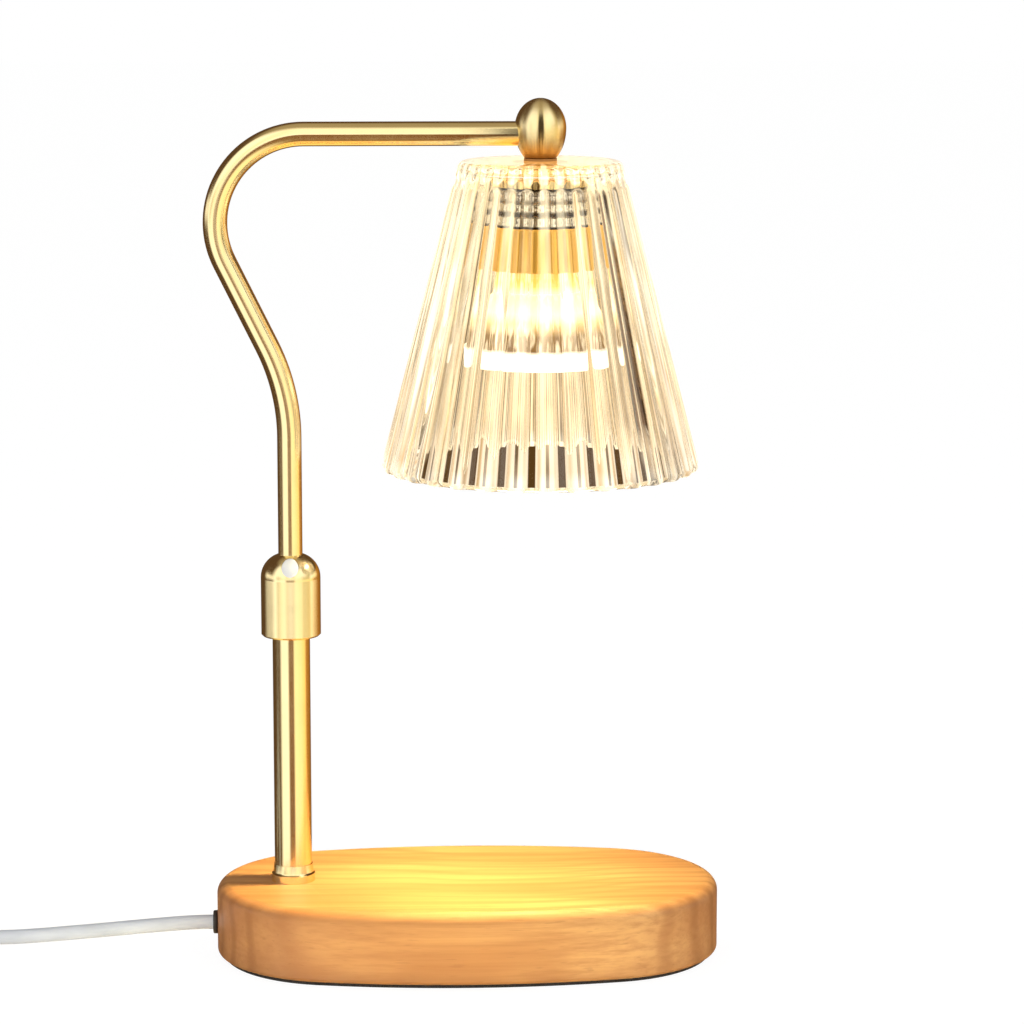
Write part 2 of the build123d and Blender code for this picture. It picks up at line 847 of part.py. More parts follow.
# ---------------------------------------------------------------- lamp bulb
def reflector_radius(height):
    """Outer radius of the bowl-shaped reflector at a height."""
    low, high = bulb_face + bulb_rim, bulb_top - bulb_base_length
    share = (height - low) / (high - low)
    return bulb_base_radius + 1.5 + (bulb_face_radius - 1.0 - bulb_base_radius - 1.5) * sqrt(1 - share)


def bulb_base():
    low, high = bulb_top - bulb_base_length, bulb_top
    outline = [
        (0, low), (bulb_base_radius + 1, low), (bulb_base_radius + 1, low + 3), (bulb_base_radius, low + 5),
        (bulb_base_radius, high - 1), (bulb_base_radius - 1, high), (0, high),
    ]
    body = turned(outline, lamp_x)
    for x, y in pin_places():
        body -= upright(pin_radius + snug, high - 4, high + 1, x, y)
    return body


def bulb_pins():
    """Two headed pins."""
    top = bulb_top + pin_length
    pins = []
    for x, y in pin_places():
        outline = [
            (0, bulb_top - 3.9), (pin_radius, bulb_top - 3.9), (pin_radius, top - pin_head_length),
            (pin_head_radius, top - pin_head_length), (pin_head_radius, top), (0, top),
        ]
        pins.append(turned(outline, x, y))
    return Compound(pins)


def bulb_reflector():
    low, high = bulb_face + bulb_rim, bulb_top - bulb_base_length - 0.02
    steps = 7
    outer = [low + (high - low) * sin(pi / 2 * k / steps) for k in range(steps + 1)]
    outside = [(reflector_radius(z), z) for z in outer]
    inside = [(max(r - reflector_wall, 2.0), z) for r, z in outside[:-1]]
    inside.append((6.0, high - reflector_wall))
    rim_in = bulb_face_radius - reflector_wall - 1
    outline = [
        (rim_in, bulb_face), (bulb_face_radius - 0.6, bulb_face), (bulb_face_radius, bulb_face + 0.6),
        (bulb_face_radius, low), *outside, (6.0, high), *reversed(inside[1:]), (rim_in, low),
    ]
    return turned(outline, lamp_x)


def bulb_lens():
    """Front glass, set just inside the reflector's rim and slightly domed."""
    radius = bulb_face_radius - reflector_wall - 1 - snug
    low = bulb_face + lens_recess
    top = low + lens_thickness
    outline = [(0, low - 0.3), (radius * 0.6, low - 0.15), (radius, low), (radius, top), (0, top)]
    return turned(outline, lamp_x)


def bulb_capsule():
    """Glass burner that hangs from the reflector's neck."""
    high = bulb_top - bulb_base_length - 0.05
    low = high - capsule_length
    outline = [
        (0, low), (capsule_radius * 0.6, low + 0.6), (capsule_radius, low + 3), (capsule_radius, high - 3),
        (capsule_radius * 0.8, high - 1.5), (capsule_radius * 0.8, high), (0, high),
    ]
    return turned(outline, lamp_x)


# ---------------------------------------------------------------- cord entry and wiring
def cord_grommet():
    flange = along_x(grommet_flange_radius, grommet_face_x, -base_length / 2, 0, exit_height)
    flange = fillet(flange.edges().group_by(Axis.X)[0], 0.5)
    body = flange + along_x(grommet_body_radius, -base_length / 2 - 0.1, pocket_low_x, 0, exit_height)
    return body - along_x(cord_radius + snug, grommet_face_x - 1, pocket_low_x + 1, 0, exit_height)


def sheath_end_x():
    return pocket_low_x + clearance + clamp_thickness + 0.6


def cord_clamp():
    low_x = pocket_low_x + clearance
    body = block(
        (low_x, -clamp_width / 2, pocket_roof - clamp_height),
        (low_x + clamp_thickness, clamp_width / 2, pocket_roof),
    )
    body -= along_x(cord_radius + snug, low_x - 1, low_x + clamp_thickness + 1, 0, exit_height)
    for x, y in clamp_screw_places():
        body -= upright(clamp_screw_radius + snug, pocket_roof - clamp_height - 1, pocket_roof + 1, x, y)
    return body


def clamp_screws():
    low = pocket_roof - clamp_height
    shanks = [
        upright(clamp_screw_radius, low, clamp_screw_tip(), x, y)
        + upright(1.8 * clamp_screw_radius, low - 1.4, low, x, y)
        for x, y in clamp_screw_places()
    ]
    return Compound(shanks)


def block_low_x():
    return pocket_low_x + pocket_length - clearance - block_length


def terminal_block():
    low = (block_low_x(), -block_width / 2, pocket_roof - block_height)
    high = (block_low_x() + block_length, block_width / 2, pocket_roof)
    body = chamfer(block(low, high).edges().group_by(Axis.Z)[0], 0.8)
    for y in core_places():
        body -= along_x(core_radius + snug, block_low_x() - 1, block_low_x() + 4, y, core_height())
    return body


def core_places():
    """Y of the mains cores (inner pair) and of the lamp cores (outer pair) at the terminal block."""
    return [-core_spacing * 2, -core_spacing / 2, core_spacing / 2, core_spacing * 2]


def core_height():
    return pocket_roof - block_height / 2


def base_leads():
    """Sheathed end of the cord, its two cores to the terminal block, and the cores that go up the stem."""
    sheath = along_x(cord_radius, grommet_face_x, sheath_end_x(), 0, exit_height)
    low = pad_thickness + 1.8
    parts = [sheath]
    for y in core_places()[1:3]:
        points = [
            (sheath_end_x(), y, exit_height), (sheath_end_x() + 1.6, y, exit_height),
            (sheath_end_x() + 1.6, y, low),
            (block_low_x() - 2.2, y, low), (block_low_x() - 2.2, y, core_height()),
            (block_low_x() + 3.8, y, core_height()),
        ]
        body, path = swept(points, [0.9, 1.8, 1.8, 1.8], Circle(core_radius))
        parts.append(body)
    mouth = stem_nut_bottom() - nipple_stick_out
    for side, y in ((-1, core_places()[0]), (1, core_places()[3])):
        points = [
            (block_low_x() + 3.8, y, core_height()), (block_low_x() - 2.0, y, core_height()),
            (stem_x, side * 1.1, mouth - 2.2), (stem_x, side * 1.1, tube_bottom + plug_length - 2),
        ]
        body, path = swept(points, [1.5, 1.5], Circle(core_radius))
        parts.append(body)
    return Compound(parts)


# ---------------------------------------------------------------- free cord
near_run = grommet_face_x - dimmer_near_end - boot_length
near_shares = [             # (share of the run, of the way aside, of the way down)
    (0.0, 0.0, 0.0), (0.08, 0.0, 0.0), (0.235, 0.13, 0.19), (0.52, 0.51, 0.61),
    (0.795, 0.89, 0.94), (0.91, 1.0, 1.0), (1.0, 1.0, 1.0),
]
near_route = [
    (grommet_face_x - run * near_run, aside * dimmer_y, exit_height + down * (dimmer_axis - exit_height))
    for run, aside, down in near_shares
]
tail_route = [
    (coil_x + coil_stub, plug_y, coil_bottom + coil_height - cord_radius),
    (coil_x + coil_stub + 0.29 * plug_tail, plug_y, coil_bottom + coil_height - cord_radius),
    (coil_x + coil_stub + 0.71 * plug_tail, plug_y, plug_axis),
    (coil_x + coil_stub + plug_tail, plug_y, plug_axis),
]


def cord_run(name, route):
    radii = corner_radii(route)
    print(name, "radii", [round(r) for r in radii])
    body, path = swept(route, radii, Circle(cord_radius))
    check_volume(name, body, path, cord_radius)
    return body


def lead_far():
    """Short straight stretch between the dimmer's far boot and the coil."""
    return along_x(cord_radius, coil_x + coil_stub, dimmer_far_end - boot_length, dimmer_y, dimmer_axis)


def lead_coil():
    """Outer shape of the coiled cord, with the ends of its outer turns."""
    body = pipe(coil_outer, coil_outer - coil_width, coil_bottom, coil_bottom + coil_height, coil_x, coil_y)
    body = fillet(body.edges(), cord_radius - 0.2)
    body += along_x(cord_radius, coil_x, coil_x + coil_stub, dimmer_y, dimmer_axis)
    return body + along_x(cord_radius, coil_x, coil_x + coil_stub, plug_y, tail_route[0][2])


def coil_tie():
    """Flat band round the coil's bundle on its far side."""
    inner, outer = coil_outer - coil_width - tie_gap, coil_outer + tie_gap
    top = coil_bottom + coil_height + tie_gap
    half = tie_width / 2
    band = block(
        (coil_x - outer - tie_thickness, coil_y - half, 0),
        (coil_x - inner + tie_thickness + 1, coil_y + half, top + tie_thickness),
    )
    return band - block(
        (coil_x - outer, coil_y - half - 1, tie_thickness - snug), (coil_x - inner + 1, coil_y + half + 1, top)
    )


# ---------------------------------------------------------------- in-line dimmer
def dimmer_shell():
    """The dimmer's whole outer form."""
    body = plate(dimmer_length, dimmer_width, dimmer_width / 2 - 4, 0, dimmer_height, dimmer_x, dimmer_y)
    body = fillet(body.edges().group_by(Axis.Z)[-1], dimmer_edge)
    return fillet(body.edges().group_by(Axis.Z)[0], dimmer_edge)


def case_posts():
    dx = dimmer_length / 2 - screw_post_inset
    return [(dimmer_x + sx * dx, dimmer_y) for sx in (-1, 1)]


def hollow_dimmer():
    body = dimmer_shell()
    body -= plate(
        dimmer_length - 2 * dimmer_wall, dimmer_width - 2 * dimmer_wall, dimmer_width / 2 - 4 - dimmer_wall,
        dimmer_wall, dimmer_height - dimmer_wall, dimmer_x, dimmer_y,
    )
    slot_half = wheel_thickness / 2 + clearance
    slot_low, slot_top = dimmer_axis - slot_half, dimmer_axis + slot_half
    body -= upright(wheel_radius + clearance, slot_low, slot_top, dimmer_x, dimmer_y)
    for x, y in case_posts():
        body += upright(screw_post_radius, dimmer_wall / 2, dimmer_height - dimmer_wall / 2, x, y)
        body -= upright(case_screw_radius + snug, -1, dimmer_height - dimmer_wall, x, y)
        body -= upright(case_screw_head + snug, -1, case_screw_head_height + 0.2, x, y)
    return body


def dimmer_lower():
    cut = block(
        (dimmer_far_end - 1, dimmer_y - dimmer_width, dimmer_axis),
        (dimmer_near_end + 1, dimmer_y + dimmer_width, 2 * dimmer_height),
    )
    return hollow_dimmer() - cut


def dimmer_upper():
    cut = block(
        (dimmer_far_end - 1, dimmer_y - dimmer_width, -1),
        (dimmer_near_end + 1, dimmer_y + dimmer_width, dimmer_axis),
    )
    return hollow_dimmer() - cut


def dimmer_board():
    """Circuit board with the potentiometer that carries the wheel."""
    low = dimmer_wall
    top = low + board_thickness
    board = block(
        (dimmer_x - board_length / 2, dimmer_y - board_width / 2, low),
        (dimmer_x + board_length / 2, dimmer_y + board_width / 2, top),
    )
    half = pot_size / 2
    body = block((dimmer_x - half, dimmer_y - half, top), (dimmer_x + half, dimmer_y + half, top + pot_height))
    shaft = upright(wheel_bore - running, top, dimmer_height - dimmer_wall - clearance, dimmer_x, dimmer_y)
    return board + body + shaft


def dimmer_wheel():
    low = dimmer_axis - wheel_thickness / 2
    body = upright(wheel_radius, low, low + wheel_thickness, dimmer_x, dimmer_y)
    body = chamfer(body.edges(), 0.4)
    for k in range(wheel_notches):
        turn = 2 * pi * k / wheel_notches
        x = dimmer_x + (wheel_radius + 0.3) * cos(turn)
        y = dimmer_y + (wheel_radius + 0.3) * sin(turn)
        body -= upright(wheel_notch_radius, low - 1, low + wheel_thickness + 1, x, y)
    return body - upright(wheel_bore, low - 1, low + wheel_thickness + 1, dimmer_x, dimmer_y)


def dimmer_screws():
    """Two screws from below."""
    top = dimmer_height - dimmer_wall - 1
    screws = []
    for x, y in case_posts():
        head = upright(case_screw_head, 0.2, 0.2 + case_screw_head_height, x, y)
        slot = block((x - case_screw_head, y - 0.3, -1), (x + case_screw_head, y + 0.3, 0.7))
        screws.append(head + upright(case_screw_radius, 0.3, top, x, y) - slot)
    return Compound(screws)


def boot(length, base_radius, tip_radius, x, y, z, direction):
    """Tapered strain relief lying along X. direction is the way that its tip points, 1 or -1."""
    cone = Cone(base_radius, tip_radius, length, align=(Align.CENTER, Align.CENTER, Align.MIN))
    rings = cone
    for k in range(4):
        at = length * (0.22 + 0.17 * k)
        radius = base_radius + (tip_radius - base_radius) * at / length
        rings -= Pos(0, 0, at) * (Cylinder(radius + 1, 0.9) - Cylinder(radius - 0.5, 2))
    return Pos(x, y, z) * Rot(0, 90 * direction, 0) * rings


def dimmer_boots():
    near = boot(boot_length, boot_radius, boot_tip_radius, dimmer_near_end, dimmer_y, dimmer_axis, 1)
    far = boot(boot_length, boot_radius, boot_tip_radius, dimmer_far_end, dimmer_y, dimmer_axis, -1)
    return Compound([near, far])


# ---------------------------------------------------------------- plug
def plug_rear_x():
    return coil_x + coil_stub + plug_tail + plug_boot_length


def plug_body():
    """Tapered two-pin plug body, its face square and its rear narrow."""
    middle_x = plug_rear_x() + plug_length_x * 0.55
    across = Plane(origin=(plug_rear_x(), plug_y, plug_axis), x_dir=(0, 1, 0), z_dir=(1, 0, 0))
    rear = across * RectangleRounded(plug_rear_width, plug_rear_height, 3)
    middle = across.offset(middle_x - plug_rear_x()) * RectangleRounded(plug_width, plug_height, 3)
    body = loft([rear, middle]) + extrude(middle, plug_face_x() - middle_x)
    for y in blade_places():
        body -= block(
            (plug_face_x() - 6, y - blade_thickness / 2, plug_axis - blade_width / 2),
            (plug_face_x() + 1, y + blade_thickness / 2, plug_axis + blade_width / 2),
        )
    return body


def plug_face_x():
    return plug_rear_x() + plug_length_x


def blade_places():
    return [plug_y + side * blade_spacing / 2 for side in (-1, 1)]


def plug_blades():
    """Two flat contact blades, each with a hole."""
    blades = []
    for y in blade_places():
        blade = block(
            (plug_face_x() - 6 + snug, y - blade_thickness / 2 + snug, plug_axis - blade_width / 2 + snug),
            (plug_face_x() + blade_length, y + blade_thickness / 2 - snug, plug_axis + blade_width / 2 - snug),
        )
        hole = along_y(1.5, y - 5, y + 5, plug_face_x() + blade_length - 4, plug_axis)
        blades.append(blade - hole)
    return Compound(blades)


def plug_boot():
    return boot(plug_boot_length, plug_boot_radius, boot_tip_radius, plug_rear_x(), plug_y, plug_axis, -1)


# ---------------------------------------------------------------- writing the pieces
pieces = {
    "wood_base": wood_base,
    "non_slip_pad": non_slip_pad,
    "ballast_plate": ballast_plate,
    "ballast_screws": ballast_screws,
    "base_ring": base_ring,
    "lower_tube": lower_tube,
    "tube_plug": tube_plug,
    "stem_nipple": stem_nipple,
    "stem_washer": stem_washer,
    "stem_nut": stem_nut,
    "collar": collar,
    "collar_cap": collar_cap,
    "guide_bush": guide_bush,
    "button_spring": button_spring,
    "release_button": release_button,
    "lock_plate": lock_plate,
    "slide_bush": slide_bush,
    "gooseneck_rod": gooseneck_rod,
    "rod_clips": rod_clips,
    "arm_cable": arm_cable,
    "ball_finial": ball_finial,
    "finial_screw": finial_screw,
    "glass_shade": glass_shade,
    "shade_gaskets": shade_gaskets,
    "shade_nut": shade_nut,
    "holder_nipple": holder_nipple,
    "holder_cap": holder_cap,
    "holder_bridge": holder_bridge,
    "holder_sleeve": holder_sleeve,
    "holder_cup": holder_cup,
    "socket_body": socket_body,
    "socket_contacts": socket_contacts,
    "bulb_base": bulb_base,
    "bulb_pins": bulb_pins,
    "bulb_reflector": bulb_reflector,
    "bulb_lens": bulb_lens,
    "bulb_capsule": bulb_capsule,
    "cord_grommet": cord_grommet,
    "cord_clamp": cord_clamp,
    "clamp_screws": clamp_screws,
    "terminal_block": terminal_block,
    "base_leads": base_leads,
    "lead_near": lambda: cord_run("lead_near", near_route),
    "dimmer_lower": dimmer_lower,
    "dimmer_upper": dimmer_upper,
    "dimmer_board": dimmer_board,
    "dimmer_wheel": dimmer_wheel,
    "dimmer_screws": dimmer_screws,
    "dimmer_boots": dimmer_boots,
    "lead_far": lead_far,
    "lead_coil": lead_coil,
    "coil_tie": coil_tie,
    "lead_tail": lambda: cord_run("lead_tail", tail_route),
    "plug_boot": plug_boot,
    "plug_body": plug_body,
    "plug_blades": plug_blades,
}

os.makedirs("parts", exist_ok=True)
up_travel = tube_top - bush_length - clip_heights()[1] - clip_thickness
print(f"height {ball_middle + ball_top_rise:.1f} mm, arm travel {-slide_down:.1f} to {up_travel:.1f} mm")
for name, make in pieces.items():
    shape = make()
    shape.label = name
    export_step(shape, f"parts/{name}.step")
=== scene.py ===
"""Candle warmer lamp: wooden block, brass gooseneck that slides in its stem, and a ribbed glass shade.

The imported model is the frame. The pieces that show are made smooth here, and every finish is built from nodes.
"""
import json
from math import atan2, cos, hypot, pi, radians, sin, sqrt, tan

import bmesh
import bpy
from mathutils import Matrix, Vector


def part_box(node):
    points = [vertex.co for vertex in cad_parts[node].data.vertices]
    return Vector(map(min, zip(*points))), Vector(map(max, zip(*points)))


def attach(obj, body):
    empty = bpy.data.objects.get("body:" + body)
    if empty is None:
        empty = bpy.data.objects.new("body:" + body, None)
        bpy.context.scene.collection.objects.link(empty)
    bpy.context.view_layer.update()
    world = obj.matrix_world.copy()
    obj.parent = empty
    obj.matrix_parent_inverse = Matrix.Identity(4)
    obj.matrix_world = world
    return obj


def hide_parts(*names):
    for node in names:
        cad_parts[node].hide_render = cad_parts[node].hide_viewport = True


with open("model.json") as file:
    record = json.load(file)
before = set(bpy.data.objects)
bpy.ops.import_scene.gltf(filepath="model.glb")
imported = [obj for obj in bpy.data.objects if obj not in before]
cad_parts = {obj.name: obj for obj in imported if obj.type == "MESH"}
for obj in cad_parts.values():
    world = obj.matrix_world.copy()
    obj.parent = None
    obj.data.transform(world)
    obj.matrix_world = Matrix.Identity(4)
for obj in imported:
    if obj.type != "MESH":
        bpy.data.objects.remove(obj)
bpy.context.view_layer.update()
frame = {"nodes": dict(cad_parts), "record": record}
scene = bpy.context.scene
MM = 0.001
RIBS = 32


def middle(node):
    """Middle of a node's box."""
    low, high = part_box(node)
    return (low + high) / 2


stem = middle("lower_tube")
lamp = middle("holder_sleeve")


# ---------------------------------------------------------------- camera
def place_camera():
    """Long lens, a little above the lamp and turned slightly from square on."""
    target, distance = Vector((0.0149, 0.0, 0.1496)), 1.254
    down, turn = radians(9.6), radians(2.15)
    away = Vector((-sin(turn) * cos(down), -cos(turn) * cos(down), sin(down)))
    data = bpy.data.cameras.new("camera")
    data.lens, data.sensor_width = 133.59, 36.0
    data.clip_start, data.clip_end = 0.05, 50.0
    camera = bpy.data.objects.new("camera", data)
    scene.collection.objects.link(camera)
    camera.location = target + distance * away
    camera.rotation_euler = (-away).to_track_quat("-Z", "Y").to_euler()
    scene.camera = camera


place_camera()


# ---------------------------------------------------------------- node helpers
class Nodes:
    """A node tree, and short ways to add nodes to it."""

    def __init__(self, tree):
        self.tree = tree

    def node(self, kind, settings=None, **sockets):
        made = self.tree.nodes.new(kind)
        for key, value in (settings or {}).items():
            setattr(made, key, value)
        for key, value in sockets.items():
            self.put(made.inputs[key.replace("_", " ")], value)
        return made

    def put(self, socket, value):
        """Links an output to a socket, or sets the socket's own value."""
        if isinstance(value, bpy.types.NodeSocket):
            self.tree.links.new(value, socket)
        else:
            socket.default_value = value

    def ramp(self, fac, stops):
        """Colour ramp. The stops are (position, colour or grey)."""
        made = self.node("ShaderNodeValToRGB", Fac=fac)
        band = made.color_ramp.elements
        while len(band) < len(stops):
            band.new(0.5)
        for element, (position, colour) in zip(band, stops):
            element.position = position
            element.color = (*colour, 1.0) if hasattr(colour, "__len__") else (colour, colour, colour, 1.0)
        return made.outputs["Color"]

    def math(self, operation, a, b=0.0):
        made = self.node("ShaderNodeMath", {"operation": operation})
        self.put(made.inputs[0], a)
        self.put(made.inputs[1], b)
        return made.outputs[0]

    def mix(self, share, a, b, blend="MIX"):
        """Mixes two colours."""
        made = self.node("ShaderNodeMix", {"data_type": "RGBA", "blend_type": blend})
        self.put(made.inputs[0], share)
        self.put(made.inputs[6], a if isinstance(a, bpy.types.NodeSocket) else (*a, 1.0))
        self.put(made.inputs[7], b if isinstance(b, bpy.types.NodeSocket) else (*b, 1.0))
        return made.outputs[2]

    def mix_shaders(self, share, a, b):
        made = self.node("ShaderNodeMixShader", Fac=share)
        self.put(made.inputs[1], a)
        self.put(made.inputs[2], b)
        return made.outputs[0]

    def between(self, value, start, end):
        """0 where the value is at start and 1 where it is at end."""
        made = self.node("ShaderNodeMapRange", Value=value)
        made.inputs["From Min"].default_value = start
        made.inputs["From Max"].default_value = end
        return made.outputs["Result"]

    def spread(self, fac, low, high):
        """A 0 to 1 value spread between low and high."""
        made = self.node("ShaderNodeMapRange", Value=fac)
        made.inputs["To Min"].default_value = low
        made.inputs["To Max"].default_value = high
        return made.outputs["Result"]


class Finish(Nodes):
    """A material with its Principled shader."""

    def __init__(self, name, colour=None, **sockets):
        self.material = bpy.data.materials.new(name)
        self.material.use_nodes = True
        super().__init__(self.material.node_tree)
        self.shader = self.tree.nodes["Principled BSDF"]
        if colour is not None:
            self.shader.inputs["Base Color"].default_value = (*colour, 1.0)
        for key, value in sockets.items():
            self.shader.inputs[key.replace("_", " ")].default_value = value

    def place(self, scale=(1, 1, 1), shift=(0, 0, 0)):
        """Object coordinates, scaled and then shifted."""
        here = self.node("ShaderNodeTexCoord").outputs["Object"]
        mapping = self.node("ShaderNodeMapping", Vector=here)
        mapping.inputs["Location"].default_value = shift
        mapping.inputs["Scale"].default_value = scale
        return mapping.outputs["Vector"]

    def height(self):
        """Object height in metres."""
        return self.node("ShaderNodeSeparateXYZ", Vector=self.place()).outputs["Z"]

    def noise(self, where, scale, detail=2.0, roughness=0.5):
        return self.node(
            "ShaderNodeTexNoise", Vector=where, Scale=scale, Detail=detail, Roughness=roughness
        ).outputs["Fac"]

    def bump(self, height, distance, strength):
        made = self.node("ShaderNodeBump", Height=height, Distance=distance, Strength=strength)
        self.put(self.shader.inputs["Normal"], made.outputs["Normal"])

    def colour(self, value):
        self.put(self.shader.inputs["Base Color"], value)

    def roughness(self, value):
        self.put(self.shader.inputs["Roughness"], value)

    def glow(self, colour, strength):
        """Light of its own, which isn't sampled as a lamp."""
        self.put(self.shader.inputs["Emission Color"], colour)
        self.shader.inputs["Emission Strength"].default_value = strength
        self.material.cycles.emission_sampling = "NONE"


# ---------------------------------------------------------------- finishes
def oiled_beech():
    """Solid wood: growth lines that wander along the block, short fibres, fine flecks, and ends darkened by end grain
    and painted shade.
    """
    f = Finish("oiled_beech", Roughness=0.45, Coat_Weight=0.12, Coat_Roughness=0.28)
    drift = f.noise(f.place(scale=(6, 30, 46)), 1.0, 2.0)
    wander = f.node("ShaderNodeTexNoise", Vector=f.place(scale=(11, 18, 18)), Scale=0.7).outputs["Color"]
    warp = f.node("ShaderNodeMix", {"data_type": "VECTOR"})
    warp.inputs[0].default_value = 0.04
    f.put(warp.inputs[4], f.place(scale=(0.16, 1.0, 1.0), shift=(0.004, -0.135, -0.07)))
    f.put(warp.inputs[5], wander)
    rings = f.node(
        "ShaderNodeTexWave", {"wave_type": "RINGS", "rings_direction": "X", "wave_profile": "SIN"},
        Vector=warp.outputs[1], Scale=38.0, Distortion=0.0,
    ).outputs["Fac"]
    fibres = f.noise(f.place(scale=(12, 420, 560)), 1.0, 4.0, 0.62)
    flecks = f.noise(f.place(scale=(110, 900, 1300)), 1.0, 1.0, 0.4)
    ground = f.ramp(drift, [(0.32, (0.50, 0.21, 0.064)), (0.5, (0.66, 0.32, 0.105)), (0.68, (0.78, 0.43, 0.155))])
    late = f.ramp(rings, [(0.0, 0.0), (0.55, 0.10), (0.85, 0.7), (1.0, 1.0)])
    toned = f.mix(f.math("MULTIPLY", late, 0.52), ground, (0.45, 0.17, 0.045))
    lined = f.mix(f.ramp(fibres, [(0.40, 0.0), (0.70, 0.6)]), toned, (0.46, 0.18, 0.050))
    dots = f.ramp(flecks, [(0.26, 1.0), (0.35, 0.0)])
    flecked = f.mix(f.math("MULTIPLY", dots, 0.26), lined, (0.34, 0.125, 0.038))
    # The ends are darker: end grain, and painted shade on the faces that turn towards the block's ends.
    facing = f.node("ShaderNodeNewGeometry").outputs["Normal"]
    along = f.node("ShaderNodeSeparateXYZ", Vector=facing).outputs["X"]
    end_grain_and_shade = f.math("POWER", f.math("ABSOLUTE", along), 1.6)
    darker = f.mix(late, (0.46, 0.185, 0.075), (0.33, 0.12, 0.045))
    f.colour(f.mix(f.math("MULTIPLY", end_grain_and_shade, 0.72), flecked, darker))
    f.roughness(f.spread(fibres, 0.36, 0.54))
    f.bump(f.math("ADD", fibres, f.math("MULTIPLY", dots, -0.6)), 0.00006, 0.6)
    return f.material


def brass(name, colour, roughness, spread, foot=None, glow=0.0):
    """Polished brass. The fine rings that polishing leaves draw its lights out along the axis.
    foot is the height where painted shade darkens it most and the height above which it is unshaded.
    glow is the strength of a painted warm glow in a cup round the bulb, standing for the bulb's light."""
    f = Finish(name, colour, Metallic=1.0, Roughness=roughness, Anisotropic=spread, Anisotropic_Rotation=0.25)
    f.glow((1.0, 0.60, 0.13, 1.0), glow)
    around = f.node("ShaderNodeUVMap", {"uv_map": "turned"}).outputs["UV"]
    stretched = f.node("ShaderNodeMapping", Vector=around)
    stretched.inputs["Scale"].default_value = (1.5, 5200.0, 1.0)
    rings = f.noise(stretched.outputs["Vector"], 1.0, 2.0)
    cloud = f.noise(f.place(scale=(90, 90, 90)), 1.0, 3.0)
    f.roughness(f.math("ADD", f.spread(rings, roughness - 0.04, roughness + 0.04), f.spread(cloud, -0.03, 0.03)))
    tangent = f.node("ShaderNodeTangent", {"direction_type": "UV_MAP", "uv_map": "turned"}).outputs["Tangent"]
    f.put(f.shader.inputs["Tangent"], tangent)
    dull_and_shaded = f.mix(f.ramp(cloud, [(0.45, 0.0), (0.8, 0.35)]), colour, tuple(c * 0.82 for c in colour))
    # Painted shade: darker towards the foot, where the ball sits on the glass.
    if foot:
        painted_foot_shade = (colour[0] * 0.30, colour[1] * 0.20, colour[2] * 0.10)
        dull_and_shaded = f.mix(f.between(f.height(), *foot), painted_foot_shade, dull_and_shaded)
    f.colour(dull_and_shaded)
    return f.material


